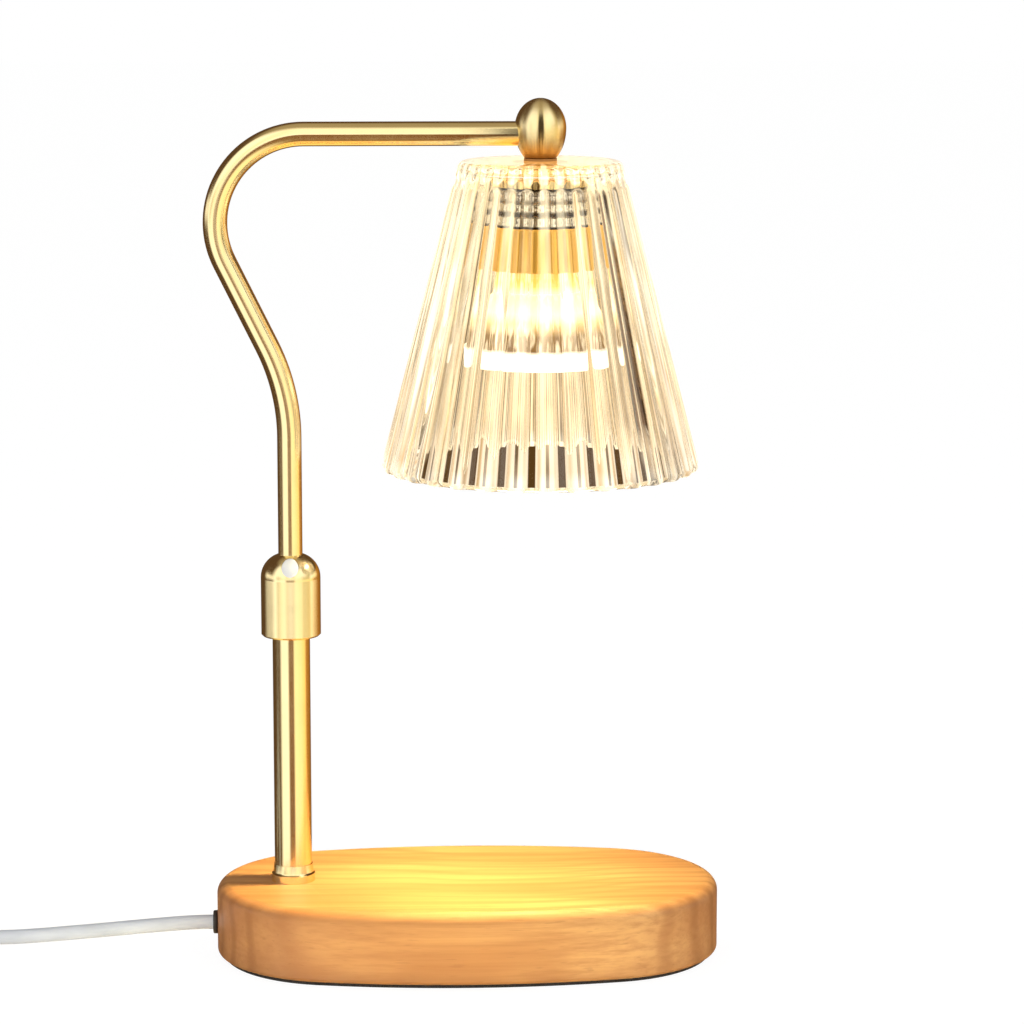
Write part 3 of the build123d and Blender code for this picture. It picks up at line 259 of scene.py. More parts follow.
def ribbed_glass(count):
    """Clear pressed glass, given a faint warm body colour as a painted tint for the bulb's warm light. A painted glow,
    standing for the bulb's light, runs up its ribs in soft streaks and lies warm on the roof round the fitting, where
    the glass is also painted warm, and a few upright streaks are painted dark as painted reflection."""
    # clear is a painted warm tint that stands for the bulb's light in the glass.
    clear, foot, top, roof_radius = (1.0, 0.94, 0.80), 0.164, 0.2655, 0.027
    f = Finish("clear_glass", clear, Roughness=0.0, IOR=1.5, Transmission_Weight=1.0)
    f.bump(f.noise(f.place(scale=(70, 70, 14)), 1.0, 1.0), 0.0003, 0.18)
    x, y, z = f.node("ShaderNodeSeparateXYZ", Vector=f.place(shift=(-lamp.x, 0, 0))).outputs
    share = f.between(z, foot, top)

    # Painted glow on the ribs, standing for the bulb's light: aside is 0 on a rib's crest and 0.5 in the gap.
    painted_glow_colour = f.ramp(share, [
        (0.0, (1.0, 0.93, 0.78)), (0.03, (1.0, 0.95, 0.84)), (0.06, (0.60, 0.48, 0.34)), (0.25, (0.78, 0.60, 0.36)),
        (0.5, (1.0, 0.90, 0.66)), (0.86, (1.0, 0.88, 0.62)), (1.0, (1.0, 0.76, 0.40)),
    ])
    turn = f.math("MULTIPLY", f.math("ARCTAN2", y, x), count / (2 * pi))
    aside = f.math("ABSOLUTE", f.math("SUBTRACT", f.math("FRACT", f.math("ADD", turn, 0.5)), 0.5))
    on_rib = f.ramp(aside, [(0.0, 1.0), (0.14, 0.9), (0.28, 0.0)])
    on_tab = f.ramp(aside, [(0.0, 0.5), (0.10, 0.6), (0.17, 1.0), (0.22, 0.0)])
    streaks = f.ramp(f.noise(f.place(scale=(190, 190, 7)), 1.0, 1.0), [(0.36, 0.1), (0.60, 1.0)])
    painted_rib_glow = f.mix(f.math("MULTIPLY", on_rib, streaks), (0, 0, 0), painted_glow_colour)
    tabs = f.ramp(share, [(0.935, 0.0), (0.945, 1.0), (0.985, 1.0), (0.998, 0.0)])
    painted_rib_glow = f.mix(f.math("MULTIPLY", tabs, on_tab), painted_rib_glow, (1.0, 0.93, 0.80))

    # The roof round the fitting: it reflects less here, and below it is painted warm with a painted glow.
    from_axis = f.math("SQRT", f.math("ADD", f.math("MULTIPLY", x, x), f.math("MULTIPLY", y, y)))
    near_axis = f.ramp(f.math("DIVIDE", from_axis, roof_radius), [(0.25, 1.0), (0.92, 0.0)])
    roof = f.math("MULTIPLY", near_axis, f.ramp(share, [(0.955, 0.0), (0.97, 1.0)]))
    f.put(f.shader.inputs["Specular IOR Level"], f.spread(roof, 0.5, 0.0))

    # Painted dark streaks, standing for dark reflections: start, end and soft edge as shares of a turn, 0.5 towards
    # the front, and how dark each is.
    around = f.math("DIVIDE", f.math("ARCTAN2", x, f.math("MULTIPLY", y, -1.0)), pi)
    stops = [(0.0, 0.0)]
    for start, end, edge, depth in (
        (0.362, 0.366, 0.002, 0.7), (0.406, 0.409, 0.002, 0.6), (0.590, 0.594, 0.002, 0.7),
        (0.6155, 0.6215, 0.002, 1.0), (0.6385, 0.6425, 0.0015, 0.8), (0.657, 0.666, 0.002, 0.9),
        (0.692, 0.698, 0.002, 0.7),
    ):
        stops += [(start - edge, 0.0), (start, depth), (end, depth), (end + edge, 0.0)]
    painted_dark_streaks = f.ramp(f.math("ADD", f.math("MULTIPLY", around, 0.5), 0.5), stops)
    broken = f.ramp(f.noise(f.place(scale=(40, 40, 22)), 1.0, 1.0), [(0.38, 0.25), (0.48, 1.0)])
    below_band = f.ramp(share, [(0.90, 1.0), (0.92, 0.0)])
    painted_dark_streaks = f.math("MULTIPLY", f.math("MULTIPLY", painted_dark_streaks, broken), below_band)

    # Painted dark streaks over the roof's painted warm tint, and the painted glow, which is cut where the streaks are.
    f.colour(f.mix(painted_dark_streaks, f.mix(roof, clear, (1.0, 0.74, 0.38)), (0.060, 0.024, 0.006)))
    f.glow(f.mix(roof, f.mix(painted_dark_streaks, painted_rib_glow, (0.0, 0.0, 0.0)), (1.0, 0.52, 0.13)), 0.46)
    return f.material


def glowing(name, bottom, top, stops, strength):
    """Glass that is lit from inside. Its glow follows the height, and the stops go from bottom to top."""
    f = Finish(name, (0.22, 0.14, 0.07), Roughness=0.3)
    glow = f.ramp(f.between(f.height(), bottom, top), stops)
    shafts = f.ramp(f.noise(f.place(scale=(420, 420, 26)), 1.0, 2.0), [(0.46, 0.0), (0.66, 0.7)])
    f.glow(f.mix(shafts, glow, (1.0, 0.90, 0.66)), strength)
    return f.material


def chrome(bottom, top):
    """Chrome plate over a band with turned rings. Bright and dark rows along its height are painted reflection, and
    the joint lines at its ends are dark.
    """
    # groove names a dark row that is painted reflection.
    plate, groove, joint = (0.80, 0.79, 0.77), (0.10, 0.085, 0.07), (0.03, 0.02, 0.015)
    f = Finish("chrome_plate", plate, Metallic=1.0, Roughness=0.05)
    f.roughness(f.spread(f.noise(f.place(scale=(60, 60, 900)), 1.0, 2.0), 0.03, 0.10))
    f.colour(f.ramp(f.between(f.height(), bottom, top), [
        (0.0, joint), (0.05, (0.05, 0.035, 0.02)), (0.08, (0.86, 0.85, 0.83)), (0.26, (0.86, 0.85, 0.83)),
        (0.32, groove), (0.40, (0.12, 0.10, 0.08)), (0.45, plate), (0.60, plate), (0.65, (0.20, 0.18, 0.16)),
        (0.72, (0.62, 0.60, 0.60)), (0.92, (0.58, 0.56, 0.56)), (0.95, (0.05, 0.035, 0.02)), (1.0, joint),
    ]))
    rings = f.node(
        "ShaderNodeTexWave", {"wave_type": "BANDS", "bands_direction": "Z", "wave_profile": "SIN"},
        Vector=f.place(), Scale=75.0, Distortion=0.0,
    ).outputs["Fac"]
    dents = f.math("MULTIPLY", f.noise(f.place(scale=(160, 160, 160)), 1.0, 1.0), 0.5)
    f.bump(f.math("ADD", rings, dents), 0.0007, 0.9)
    return f.material


def moulded(name, colour, roughness, grain, coat=0.0):
    """Moulded plastic, rubber or ceramic with a fine even grain and a little unevenness of tone."""
    f = Finish(name, colour, Roughness=roughness, Coat_Weight=coat, Coat_Roughness=0.08)
    tone = f.noise(f.place(scale=(45, 45, 45)), 1.0, 3.0)
    dark, light = tuple(c * 0.86 for c in colour), tuple(min(1.0, c * 1.08) for c in colour)
    f.colour(f.mix(tone, dark, light))
    f.roughness(f.spread(tone, roughness - 0.06, roughness + 0.06))
    f.bump(f.noise(f.place(scale=(grain, grain, grain)), 1.0, 2.0), 0.00003, 0.5)
    return f.material


def foam_rubber():
    """Closed-cell foam, all small cells."""
    f = Finish("black_foam_rubber", (0.03, 0.028, 0.027), Roughness=0.85)
    cells = f.node("ShaderNodeTexVoronoi", Vector=f.place(), Scale=1400.0).outputs["Distance"]
    f.colour(f.ramp(cells, [(0.0, (0.012, 0.011, 0.011)), (0.7, (0.05, 0.047, 0.045))]))
    f.bump(cells, 0.00008, 0.7)
    return f.material


def plain_metal(name, colour, roughness):
    """Plated or cast steel with a cloudy, slightly scratched skin."""
    f = Finish(name, colour, Metallic=1.0, Roughness=roughness)
    cloud = f.noise(f.place(scale=(120, 120, 120)), 1.0, 4.0, 0.6)
    f.colour(f.mix(cloud, tuple(c * 0.8 for c in colour), colour))
    f.roughness(f.spread(cloud, roughness - 0.08, roughness + 0.1))
    f.bump(f.noise(f.place(scale=(40, 900, 900)), 1.0, 2.0), 0.00002, 0.4)
    return f.material


def fibreglass_board():
    """Green circuit board with paler tracks."""
    f = Finish("circuit_board", (0.03, 0.16, 0.07), Roughness=0.35, Coat_Weight=0.5)
    tracks = f.node("ShaderNodeTexBrick", Vector=f.place(scale=(240, 240, 240)), Scale=1.0, Mortar_Size=0.06)
    tracks.inputs["Color1"].default_value = (0.03, 0.16, 0.07, 1)
    tracks.inputs["Color2"].default_value = (0.025, 0.13, 0.06, 1)
    tracks.inputs["Mortar"].default_value = (0.09, 0.30, 0.12, 1)
    f.colour(tracks.outputs["Color"])
    return f.material


def cord_sheath():
    """Pale grey PVC with a soft sheen and faint handling marks."""
    f = Finish("grey_sheath", (0.80, 0.84, 0.90), Roughness=0.38, Sheen_Weight=0.1)
    marks = f.noise(f.place(scale=(55, 260, 260)), 1.0, 3.0)
    f.colour(f.ramp(marks, [(0.3, (0.74, 0.78, 0.84)), (0.6, (0.84, 0.88, 0.95))]))
    f.roughness(f.spread(marks, 0.32, 0.46))
    f.bump(f.noise(f.place(scale=(500, 900, 900)), 1.0, 2.0), 0.00002, 0.4)
    return f.material


BRASS = (0.90, 0.76, 0.44)
# Heights in metres, from and to, over which a finish changes.
ball_foot, bulb_span, lens_span = (0.2655, 0.2765), (0.1985, 0.2305), (0.198, 0.202)
lens_white = (1.0, 0.98, 0.90)
finishes = {
    "oiled_beech": oiled_beech(),
    "black_foam_rubber": foam_rubber(),
    "ballast_steel": plain_metal("ballast_steel", (0.22, 0.22, 0.23), 0.55),
    "zinc_steel": plain_metal("zinc_steel", (0.66, 0.66, 0.64), 0.34),
    "polished_brass": brass("polished_brass", BRASS, 0.17, 0.9),
    "turned_brass": brass("turned_brass", BRASS, 0.23, 1.0, foot=ball_foot),
    # The cup round the bulb: brass painted orange, with a painted glow, both standing for the bulb's light on it.
    "lit_gilt": brass("lit_gilt", (1.0, 0.62, 0.14), 0.34, 0.6, glow=0.16),
    "nylon": moulded("nylon", (0.84, 0.83, 0.79), 0.42, 900),
    "white_button": moulded("white_button", (0.98, 0.98, 1.0), 0.22, 700, 0.5),
    "clear_glass": ribbed_glass(RIBS),
    # The clear gasket is painted dark brown, as painted shade under the ball's foot.
    "clear_gasket": moulded("clear_gasket", (0.42, 0.22, 0.07), 0.5, 800),
    "chrome_plate": chrome(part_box("holder_sleeve")[0].z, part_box("holder_sleeve")[1].z),
    "white_ceramic": moulded("white_ceramic", (0.86, 0.85, 0.81), 0.35, 500),
    "bulb_glass": glowing("bulb_glass", *bulb_span, [
        (0.0, (1.0, 0.97, 0.88)), (0.19, (1.0, 0.97, 0.86)), (0.22, (0.09, 0.042, 0.009)), (0.36, (0.14, 0.075, 0.02)),
        (0.48, (0.70, 0.50, 0.22)), (0.58, (1.0, 0.88, 0.60)), (0.78, (1.0, 0.78, 0.40)), (0.84, (0.90, 0.50, 0.10)),
        (1.0, (0.75, 0.34, 0.04)),
    ], 1.7),
    "lens_glass": glowing("lens_glass", *lens_span, [(0.0, lens_white), (1.0, lens_white)], 4.0),
    "grey_sheath": cord_sheath(),
    "black_grommet": moulded("black_grommet", (0.045, 0.042, 0.04), 0.5, 900),
    "core_insulation": moulded("core_insulation", (0.55, 0.42, 0.20), 0.4, 900),
    "terminal_plastic": moulded("terminal_plastic", (0.80, 0.80, 0.77), 0.45, 700),
    "plug_plastic": moulded("plug_plastic", (0.72, 0.72, 0.71), 0.4, 900),
    "nickel_blade": plain_metal("nickel_blade", (0.78, 0.75, 0.68), 0.22),
    "circuit_board": fibreglass_board(),
    "tie_plastic": moulded("tie_plastic", (0.05, 0.05, 0.05), 0.5, 900),
}
slots = {part["node"]: part["material_slot"] for part in frame["record"]["subparts"]}
bodies = {node: body for body, members in frame["record"]["behaviour"]["bodies"].items() for node in members}


def dress_nodes():
    """Every carried-over node gets the finish of its slot."""
    for name, node in frame["nodes"].items():
        node.data.materials.clear()
        node.data.materials.append(finishes.get(slots.get(name), finishes["nylon"]))


dress_nodes()


# ---------------------------------------------------------------- pieces
def stands_for(piece, *names):
    """Gives a finished piece the finish and body of the nodes that it stands for, and hides those nodes."""
    slot = slots[names[0]]
    if not piece.data.materials:
        piece.data.materials.append(finishes[slot])
    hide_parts(*names)
    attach(piece, bodies[names[0]])
    return piece


def object_of(name, data):
    """New object in the scene."""
    piece = bpy.data.objects.new(name, data)
    scene.collection.objects.link(piece)
    return piece


def hide_from(piece, *rays):
    """Makes an object unseen by kinds of ray, such as glossy or shadow."""
    for kind in rays:
        setattr(piece, "visible_" + kind, False)


def wrap(mesh, center, axis="Z"):
    """UV map that goes once round an axis, with its height along the axis in metres."""
    layer = mesh.uv_layers.new(name="turned")
    right, up, along = {"X": (1, 2, 0), "Z": (0, 1, 2)}[axis]

    def turn_of(point):
        return atan2(point[up] - center[up], point[right] - center[right]) / (2 * pi)

    for face in mesh.polygons:
        home = turn_of(face.center)
        for corner in face.loop_indices:
            point = mesh.vertices[mesh.loops[corner].vertex_index].co
            turn = turn_of(point)
            layer.data[corner].uv = (turn - round(turn - home), point[along] - center[along])


def steady_normals(mesh, rule):
    """Exact normals where a face lies on the turned form that rule describes. rule takes a point to a direction."""
    normals = []
    for face in mesh.polygons:
        for corner in face.loop_indices:
            index = mesh.loops[corner].vertex_index
            true = rule(mesh.vertices[index].co)
            usual = mesh.corner_normals[corner].vector
            fits = true is not None and true.dot(face.normal) > 0.93
            normals.append(tuple(true if fits else usual))
    mesh.normals_split_custom_set(normals)


def smooth_copy(node, name, center=None, axis="Z", angle=32, rule=None, finish=None):
    """Copy of a node with its doubles merged, shaded smooth up to an angle in degrees, to stand for it.
    center and axis are what its UV map goes round, and rule gives exact normals."""
    mesh = frame["nodes"][node].data.copy()
    mesh.name = name
    if finish:
        mesh.materials.clear()
        mesh.materials.append(finishes[finish])
    build = bmesh.new()
    build.from_mesh(mesh)
    bmesh.ops.remove_doubles(build, verts=build.verts, dist=1e-6)
    bmesh.ops.dissolve_degenerate(build, edges=build.edges, dist=1e-7)
    build.to_mesh(mesh)
    build.free()
    mesh.shade_smooth()
    mesh.set_sharp_from_angle(angle=radians(angle))
    if center is not None:
        wrap(mesh, center, axis)
    if rule:
        steady_normals(mesh, rule)
    piece = object_of(name, mesh)
    if not rule:
        even = piece.modifiers.new("even normals", "WEIGHTED_NORMAL")
        even.keep_sharp = True
        even.weight = 50
    return stands_for(piece, node)


def upright_wall(center, crown=0.0):
    """Rule for a cylinder's side: the normal points out from its axis, and up by the crown."""

    def rule(point):
        out = Vector((point.x - center.x, point.y - center.y, 0))
        return (out.normalized() + Vector((0, 0, crown))).normalized() if out.length > 1e-6 else None

    return rule


def dome(center, ring_radius, level):
    """Rule for the collar's dome, an arc that is turned about the stem's axis."""

    def rule(point):
        out = Vector((point.x - center.x, point.y - center.y, 0))
        if out.length < 1e-6:
            return None
        return (out.normalized() * (out.length - ring_radius) + Vector((0, 0, point.z - level))).normalized()

    return rule


def egg(center, radius, level, rise, drop):
    """Rule for the ball over the shade, half an ellipse above its widest level and half another below it."""

    def rule(point):
        out = Vector((point.x - center.x, point.y - center.y, 0))
        up = point.z - level
        tall = rise if up > 0 else drop
        return (out / radius**2 + Vector((0, 0, up / tall**2))).normalized()

    return rule


# ---------------------------------------------------------------- free cord
def cord_curve(name, points, thickness):
    """One smooth spline through space, as thick as the cord."""
    data = bpy.data.curves.new(name, "CURVE")
    data.dimensions = "3D"
    data.resolution_u = 10
    data.bevel_depth = thickness / 2
    data.bevel_resolution = 6
    data.use_fill_caps = True
    spline = data.splines.new("NURBS")
    spline.points.add(len(points) - 1)
    for target, point in zip(spline.points, points):
        target.co = (*point, 1.0)
    spline.order_u = 3
    spline.use_endpoint_u = True
    data.materials.append(finishes["grey_sheath"])
    return object_of(name, data)


def coil_points(center, turns_from, cells, per_turn=24):
    """Points of a flat-laid coil. cells are the (radius, height) of its turns in the order they are wound.
    It starts on the coil's near side, goes round clockwise and ends half a turn further on.
    leave is the share of each turn where the cord moves over to the next cell, within half_move before and after."""
    points = []
    leave, half_move = [0.93, 0.87, 0.82, 0.76, 0.70, 0.64, 0.57, 0.54], 0.07
    total = int((len(cells) - 0.5) * per_turn)
    for step in range(total + 1):
        turn, along = divmod(step / per_turn, 1.0)
        turn = int(turn)
        radius, height = cells[turn]
        if turn + 1 < len(cells):
            share = min(1.0, max(0.0, (along - leave[turn] + half_move) / (2 * half_move)))
            share = share * share * (3 - 2 * share)
            radius += (cells[turn + 1][0] - radius) * share
            height += (cells[turn + 1][1] - height) * share
        angle = turns_from - 2 * pi * step / per_turn
        points.append((center[0] + radius * cos(angle), center[1] + radius * sin(angle), height))
    return points


def free_cord():
    """The lead from the block to the dimmer, and on through the put-away coil to the plug."""
    thickness = 0.0048
    near = cord_curve(
        "cord_to_dimmer",
        [
            (-0.0852, 0.0, 0.0110), (-0.0912, 0.0, 0.0110), (-0.1032, -0.0005, 0.0103), (-0.1252, -0.0019, 0.0088),
            (-0.1462, -0.0033, 0.0076), (-0.1550, -0.0037, 0.0074), (-0.1620, -0.0037, 0.0074),
        ],
        thickness,
    )
    stands_for(near, "lead_near")
    outer, mid, inner = 0.0330, 0.0280, 0.0230
    low, level, high = 0.0034, 0.0083, 0.0132
    cells = [
        (outer, level), (outer, low), (mid, low), (inner, low), (inner, level), (mid, level), (inner, high),
        (mid, high), (outer, high),
    ]
    coil_center = (-0.29382, 0.0293)
    route = [
        (-0.2640, -0.0037, 0.0074), (-0.2700, -0.0037, 0.0075), (-0.2770, -0.0037, 0.0079), (-0.2860, -0.0037, 0.0083),
    ]
    route += coil_points(coil_center, -pi / 2, cells)
    route += [
        (-0.2860, 0.0623, 0.0132), (-0.2760, 0.0623, 0.0133), (-0.2660, 0.0623, 0.0133), (-0.2510, 0.0623, 0.0075),
        (-0.2410, 0.0623, 0.0075),
    ]
    far = cord_curve("cord_to_plug", route, thickness)
    stands_for(far, "lead_far", "lead_coil", "lead_tail")
    return near, far


near_cord, far_cord = free_cord()


# ---------------------------------------------------------------- block
smooth_copy("wood_base", "wooden_block", angle=40)
smooth_copy("non_slip_pad", "non_slip_sole", angle=40)


# ---------------------------------------------------------------- stem, collar and button
collar_low, collar_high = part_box("collar")
seam = collar_high.z
collar_radius, dome_arc = (collar_high.x - collar_low.x) / 2, 8.1 * MM
smooth_copy("base_ring", "foot_ring", stem, angle=24)
smooth_copy("lower_tube", "stem_tube", stem, rule=upright_wall(stem))
smooth_copy("collar", "collar_body", stem, rule=upright_wall(stem, crown=0.11))
smooth_copy("collar_cap", "collar_dome", stem, rule=dome(stem, collar_radius - dome_arc, seam))
smooth_copy("release_button", "release_disc", angle=28)


# ---------------------------------------------------------------- arm
def bent_line(corners, radii, step):
    """Points along straight runs joined by arcs, a step apart on the arcs."""
    points = [Vector(corners[0])]
    for before, here, after, radius in zip(corners, corners[1:], corners[2:], radii):
        a, b = (Vector(here) - Vector(before)).normalized(), (Vector(after) - Vector(here)).normalized()
        turn = a.angle(b)
        cut = radius * tan(turn / 2)
        start = Vector(here) - a * cut
        side = (b - a * a.dot(b)).normalized()
        pieces = max(6, int(turn * radius / step))
        for k in range(pieces + 1):
            share = turn * k / pieces
            points.append(start + a * radius * sin(share) + side * radius * (1 - cos(share)))
    points.append(Vector(corners[-1]))
    return points


def bent_rod():
    """The gooseneck: a thin tube along a rising line that leans back and then turns level into the ball."""
    low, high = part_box("gooseneck_rod")
    radius, wall = 4.0 * MM, 1.0 * MM
    dome_rise, travel, straight = 7.7 * MM, 30.0 * MM, 8.9 * MM
    lower_bend, upper_bend, lean = 69.0 * MM, 28.9 * MM, radians(26.2)
    level = high.z - radius
    first_z = seam + dome_rise + travel + straight + lower_bend * tan(lean / 2)
    second_x = stem.x - (level - first_z) * tan(lean)
    corners = [(stem.x, 0, low.z), (stem.x, 0, first_z), (second_x, 0, level), (high.x, 0, level)]
    line = bent_line(corners, [lower_bend, upper_bend], 1.6 * MM)
    sides = 40
    build = bmesh.new()
    layer = build.loops.layers.uv.new("turned")

    def ring(index, size):
        here = line[index]
        before, after = line[max(index - 1, 0)], line[min(index + 1, len(line) - 1)]
        ahead = (after - before).normalized()
        if 0 < index < len(line) - 1:
            a, b = (here - before).normalized(), (after - here).normalized()
            ahead = (a + b).normalized()
        across = Vector((0, 1, 0))
        other = across.cross(ahead)
        turns = [2 * pi * k / sides for k in range(sides)]
        return [build.verts.new(here + size * (cos(t) * across + sin(t) * other)) for t in turns]

    runs = [0.0]
    for a, b in zip(line, line[1:]):
        runs.append(runs[-1] + (b - a).length)
    outer = [ring(k, radius) for k in range(len(line))]
    inner = [ring(k, radius - wall) for k in range(len(line))]
    walls = [(outer[k], outer[k + 1], runs[k], runs[k + 1]) for k in range(len(line) - 1)]
    walls += [(inner[k + 1], inner[k], runs[k + 1], runs[k]) for k in range(len(line) - 1)]
    walls += [(inner[0], outer[0], -wall, 0.0), (outer[-1], inner[-1], runs[-1], runs[-1] + wall)]
    for low_ring, high_ring, low_v, high_v in walls:
        for k in range(sides):
            after = (k + 1) % sides
            face = build.faces.new((low_ring[k], low_ring[after], high_ring[after], high_ring[k]))
            for corner, uv in zip(face.loops, ((k, low_v), (k + 1, low_v), (k + 1, high_v), (k, high_v))):
                corner[layer].uv = (uv[0] / sides, uv[1])
    bmesh.ops.recalc_face_normals(build, faces=build.faces)
    mesh = bpy.data.meshes.new("bent_rod")
    build.to_mesh(mesh)
    build.free()
    mesh.shade_smooth()
    mesh.set_sharp_from_angle(angle=radians(40))
    return stands_for(object_of("bent_rod", mesh), "gooseneck_rod")


bent_rod()
ball_low, ball_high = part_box("ball_finial")
ball_radius, ball_rise, ball_drop = 8.4 * MM, 9.8 * MM, 12.2 * MM
smooth_copy(
    "ball_finial", "ball_over_shade", (ball_low + ball_high) / 2,
    rule=egg(lamp, ball_radius, ball_high.z - ball_rise, ball_rise, ball_drop), finish="turned_brass",
)


# ---------------------------------------------------------------- glass shade
def shade_wedge(count, across=16):
    """One rib of the shade with its share of the wall, the thick rim and the roof, about the shade's own axis."""
    low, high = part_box("glass_shade")
    bottom, top = low.z, high.z
    crest_low, crest_high = 52.7 * MM, 26.6 * MM
    depth_low, depth_high = 1.6 * MM, 0.6 * MM
    wall, roof, hole = 3.4 * MM, 3.5 * MM, 4.2 * MM
    edge, lip, band, groove = 2.0 * MM, 1.9 * MM, 5.9 * MM, 1.4 * MM
    rib_share, inner_edge, rib_ends = 0.67, 2.6 * MM, 4.0 * MM
    band_low = top - band

    def share(z):
        return (top - z) / (top - bottom)

    def crest(z):
        return crest_high + share(z) * (crest_low - crest_high)

    def valley(z):
        return crest(z) - depth_high - share(z) * (depth_low - depth_high)

    def rise_of_rib(aside, z):
        """0 in the flat gap beside a rib and 1 on its crest. A rib's ends are round, and the top band has its own."""
        half = rib_share * pi * crest(z) / count
        core, corner = half * 0.1, half * 0.9
        foot, head = (band_low, top + edge / 2) if z > band_low - groove / 2 else (bottom - edge, band_low - groove)
        x, y = abs(aside) - core, abs(z - (head + foot) / 2) - (head - foot) / 2 + corner
        outside = hypot(max(x, 0), max(y, 0)) + min(max(x, y), 0) - corner
        rise = min(1.0, max(0.0, -outside / half))
        return 1 - (1 - rise) ** 2

    def skin(place, z):
        """Radius of the outer face, drawn in where the top edge is rounded."""
        radius = valley(z) + (crest(z) - valley(z)) * rise_of_rib(place * pi * crest(z) / count, z)
        up = min(edge, max(0.0, z - top + edge))
        return min(radius, crest(z) - edge + sqrt(edge**2 - up**2))

    def arc(steps):
        return [pi / 2 * k / steps for k in range(steps + 1)]

    def outline(place):
        """Closed half section at one place across the rib, as (radius, height), from the roof's hole round."""
        under = top - roof
        corner = valley(under - inner_edge) - wall
        points = [(hole, top), (hole, under), (corner - 3 * inner_edge, under)]
        points += [(corner - inner_edge * (1 - sin(t)), under - inner_edge * (1 - cos(t))) for t in arc(6)]
        for k in range(1, 9):
            z = under - inner_edge - (under - inner_edge - bottom - lip) * k / 8
            points.append((valley(z) - wall, z))
        inside, outside = valley(bottom + lip) - wall, skin(place, bottom + lip)
        points += [(inside + 0.85 * lip * (1 - cos(t)), bottom + lip * (1 - sin(t))) for t in arc(5)[1:]]
        points += [(outside - 0.95 * lip * (1 - sin(t)), bottom + lip * (1 - cos(t))) for t in arc(6)]
        ends = band_low - groove - rib_ends
        heights = [bottom + lip + (ends - bottom - lip) * k / 12 for k in range(1, 13)]
        heights += [ends + rib_ends * k / 12 for k in range(1, 13)]
        heights += [band_low - groove / 2]
        heights += [band_low + (band - edge) * k / 16 for k in range(17)]
        heights += [top - edge * (1 - sin(t)) for t in arc(10)[1:]]
        points += [(skin(place, z), z) for z in heights]
        return points + [(crest(top) - 3 * edge, top), (hole + edge, top)]

    build = bmesh.new()
    columns = []
    for k in range(across + 1):
        place = 2 * k / across - 1
        angle = place * pi / count
        columns.append([build.verts.new((r * cos(angle), r * sin(angle), z)) for r, z in outline(place)])
    for left, right in zip(columns, columns[1:]):
        for k in range(len(left)):
            after = (k + 1) % len(left)
            build.faces.new((left[k], left[after], right[after], right[k]))
    bmesh.ops.recalc_face_normals(build, faces=build.faces)
    mesh = bpy.data.meshes.new("shade_rib")
    build.to_mesh(mesh)
    build.free()
    return mesh


def ribs_round_axis():
    """Geometry Nodes tree: repeats one wedge round an upright axis and joins the wedges into one closed shell."""
    tree = bpy.data.node_groups.new("ribs_round_axis", "GeometryNodeTree")
    for name, kind in (
        ("Wedge", "Geometry"), ("Rib count", "Int"), ("Axis place", "Vector"), ("Weld distance", "Float"),
        ("Finish", "Material"),
    ):
        tree.interface.new_socket(name, in_out="INPUT", socket_type="NodeSocket" + kind)
    tree.interface.new_socket("Shell", in_out="OUTPUT", socket_type="NodeSocketGeometry")
    add, link = tree.nodes.new, tree.links.new
    given, made = add("NodeGroupInput"), add("NodeGroupOutput")
    points = add("GeometryNodePoints")
    link(given.outputs["Rib count"], points.inputs["Count"])
    step = add("ShaderNodeMath")
    step.operation = "DIVIDE"
    step.inputs[0].default_value = 2 * pi
    link(given.outputs["Rib count"], step.inputs[1])
    angle = add("ShaderNodeMath")
    angle.operation = "MULTIPLY"
    link(add("GeometryNodeInputIndex").outputs[0], angle.inputs[0])
    link(step.outputs[0], angle.inputs[1])
    turn = add("ShaderNodeCombineXYZ")
    link(angle.outputs[0], turn.inputs["Z"])
    copies = add("GeometryNodeInstanceOnPoints")
    link(points.outputs[0], copies.inputs["Points"])
    link(given.outputs["Wedge"], copies.inputs["Instance"])
    link(turn.outputs[0], copies.inputs["Rotation"])
    real = add("GeometryNodeRealizeInstances")
    link(copies.outputs[0], real.inputs[0])
    weld = add("GeometryNodeMergeByDistance")
    link(real.outputs[0], weld.inputs["Geometry"])
    link(given.outputs["Weld distance"], weld.inputs["Distance"])
    move = add("GeometryNodeTransform")
    link(weld.outputs[0], move.inputs["Geometry"])
    link(given.outputs["Axis place"], move.inputs["Translation"])
    dress = add("GeometryNodeSetMaterial")
    link(move.outputs[0], dress.inputs["Geometry"])
    link(given.outputs["Finish"], dress.inputs["Material"])
    link(dress.outputs[0], made.inputs["Shell"])
    return tree


def made_by(tree, mesh, name, values):
    """Runs a tree on a mesh with its named inputs set, and keeps the result as a plain mesh."""
    maker = object_of(name + "_maker", mesh)
    modifier = maker.modifiers.new("maker", "NODES")
    modifier.node_group = tree
    for socket in tree.interface.items_tree:
        if socket.in_out == "INPUT" and socket.name in values:
            modifier[socket.identifier] = values[socket.name]
    result = bpy.data.meshes.new_from_object(maker.evaluated_get(bpy.context.evaluated_depsgraph_get()))
    result.name = name
    bpy.data.objects.remove(maker)
    return result


def glass_shade():
    """The whole shade, made from one wedge. It throws no shadow, as clear glass throws hardly any."""
    values = {
        "Rib count": RIBS, "Axis place": (lamp.x, 0.0, 0.0), "Weld distance": 2e-6, "Finish": finishes["clear_glass"],
    }
    mesh = made_by(ribs_round_axis(), shade_wedge(RIBS), "ribbed_shade", values)
    mesh.shade_smooth()
    mesh.set_sharp_from_angle(angle=radians(50))
    hide_from(stands_for(object_of("ribbed_shade", mesh), "glass_shade"), "shadow")


glass_shade()


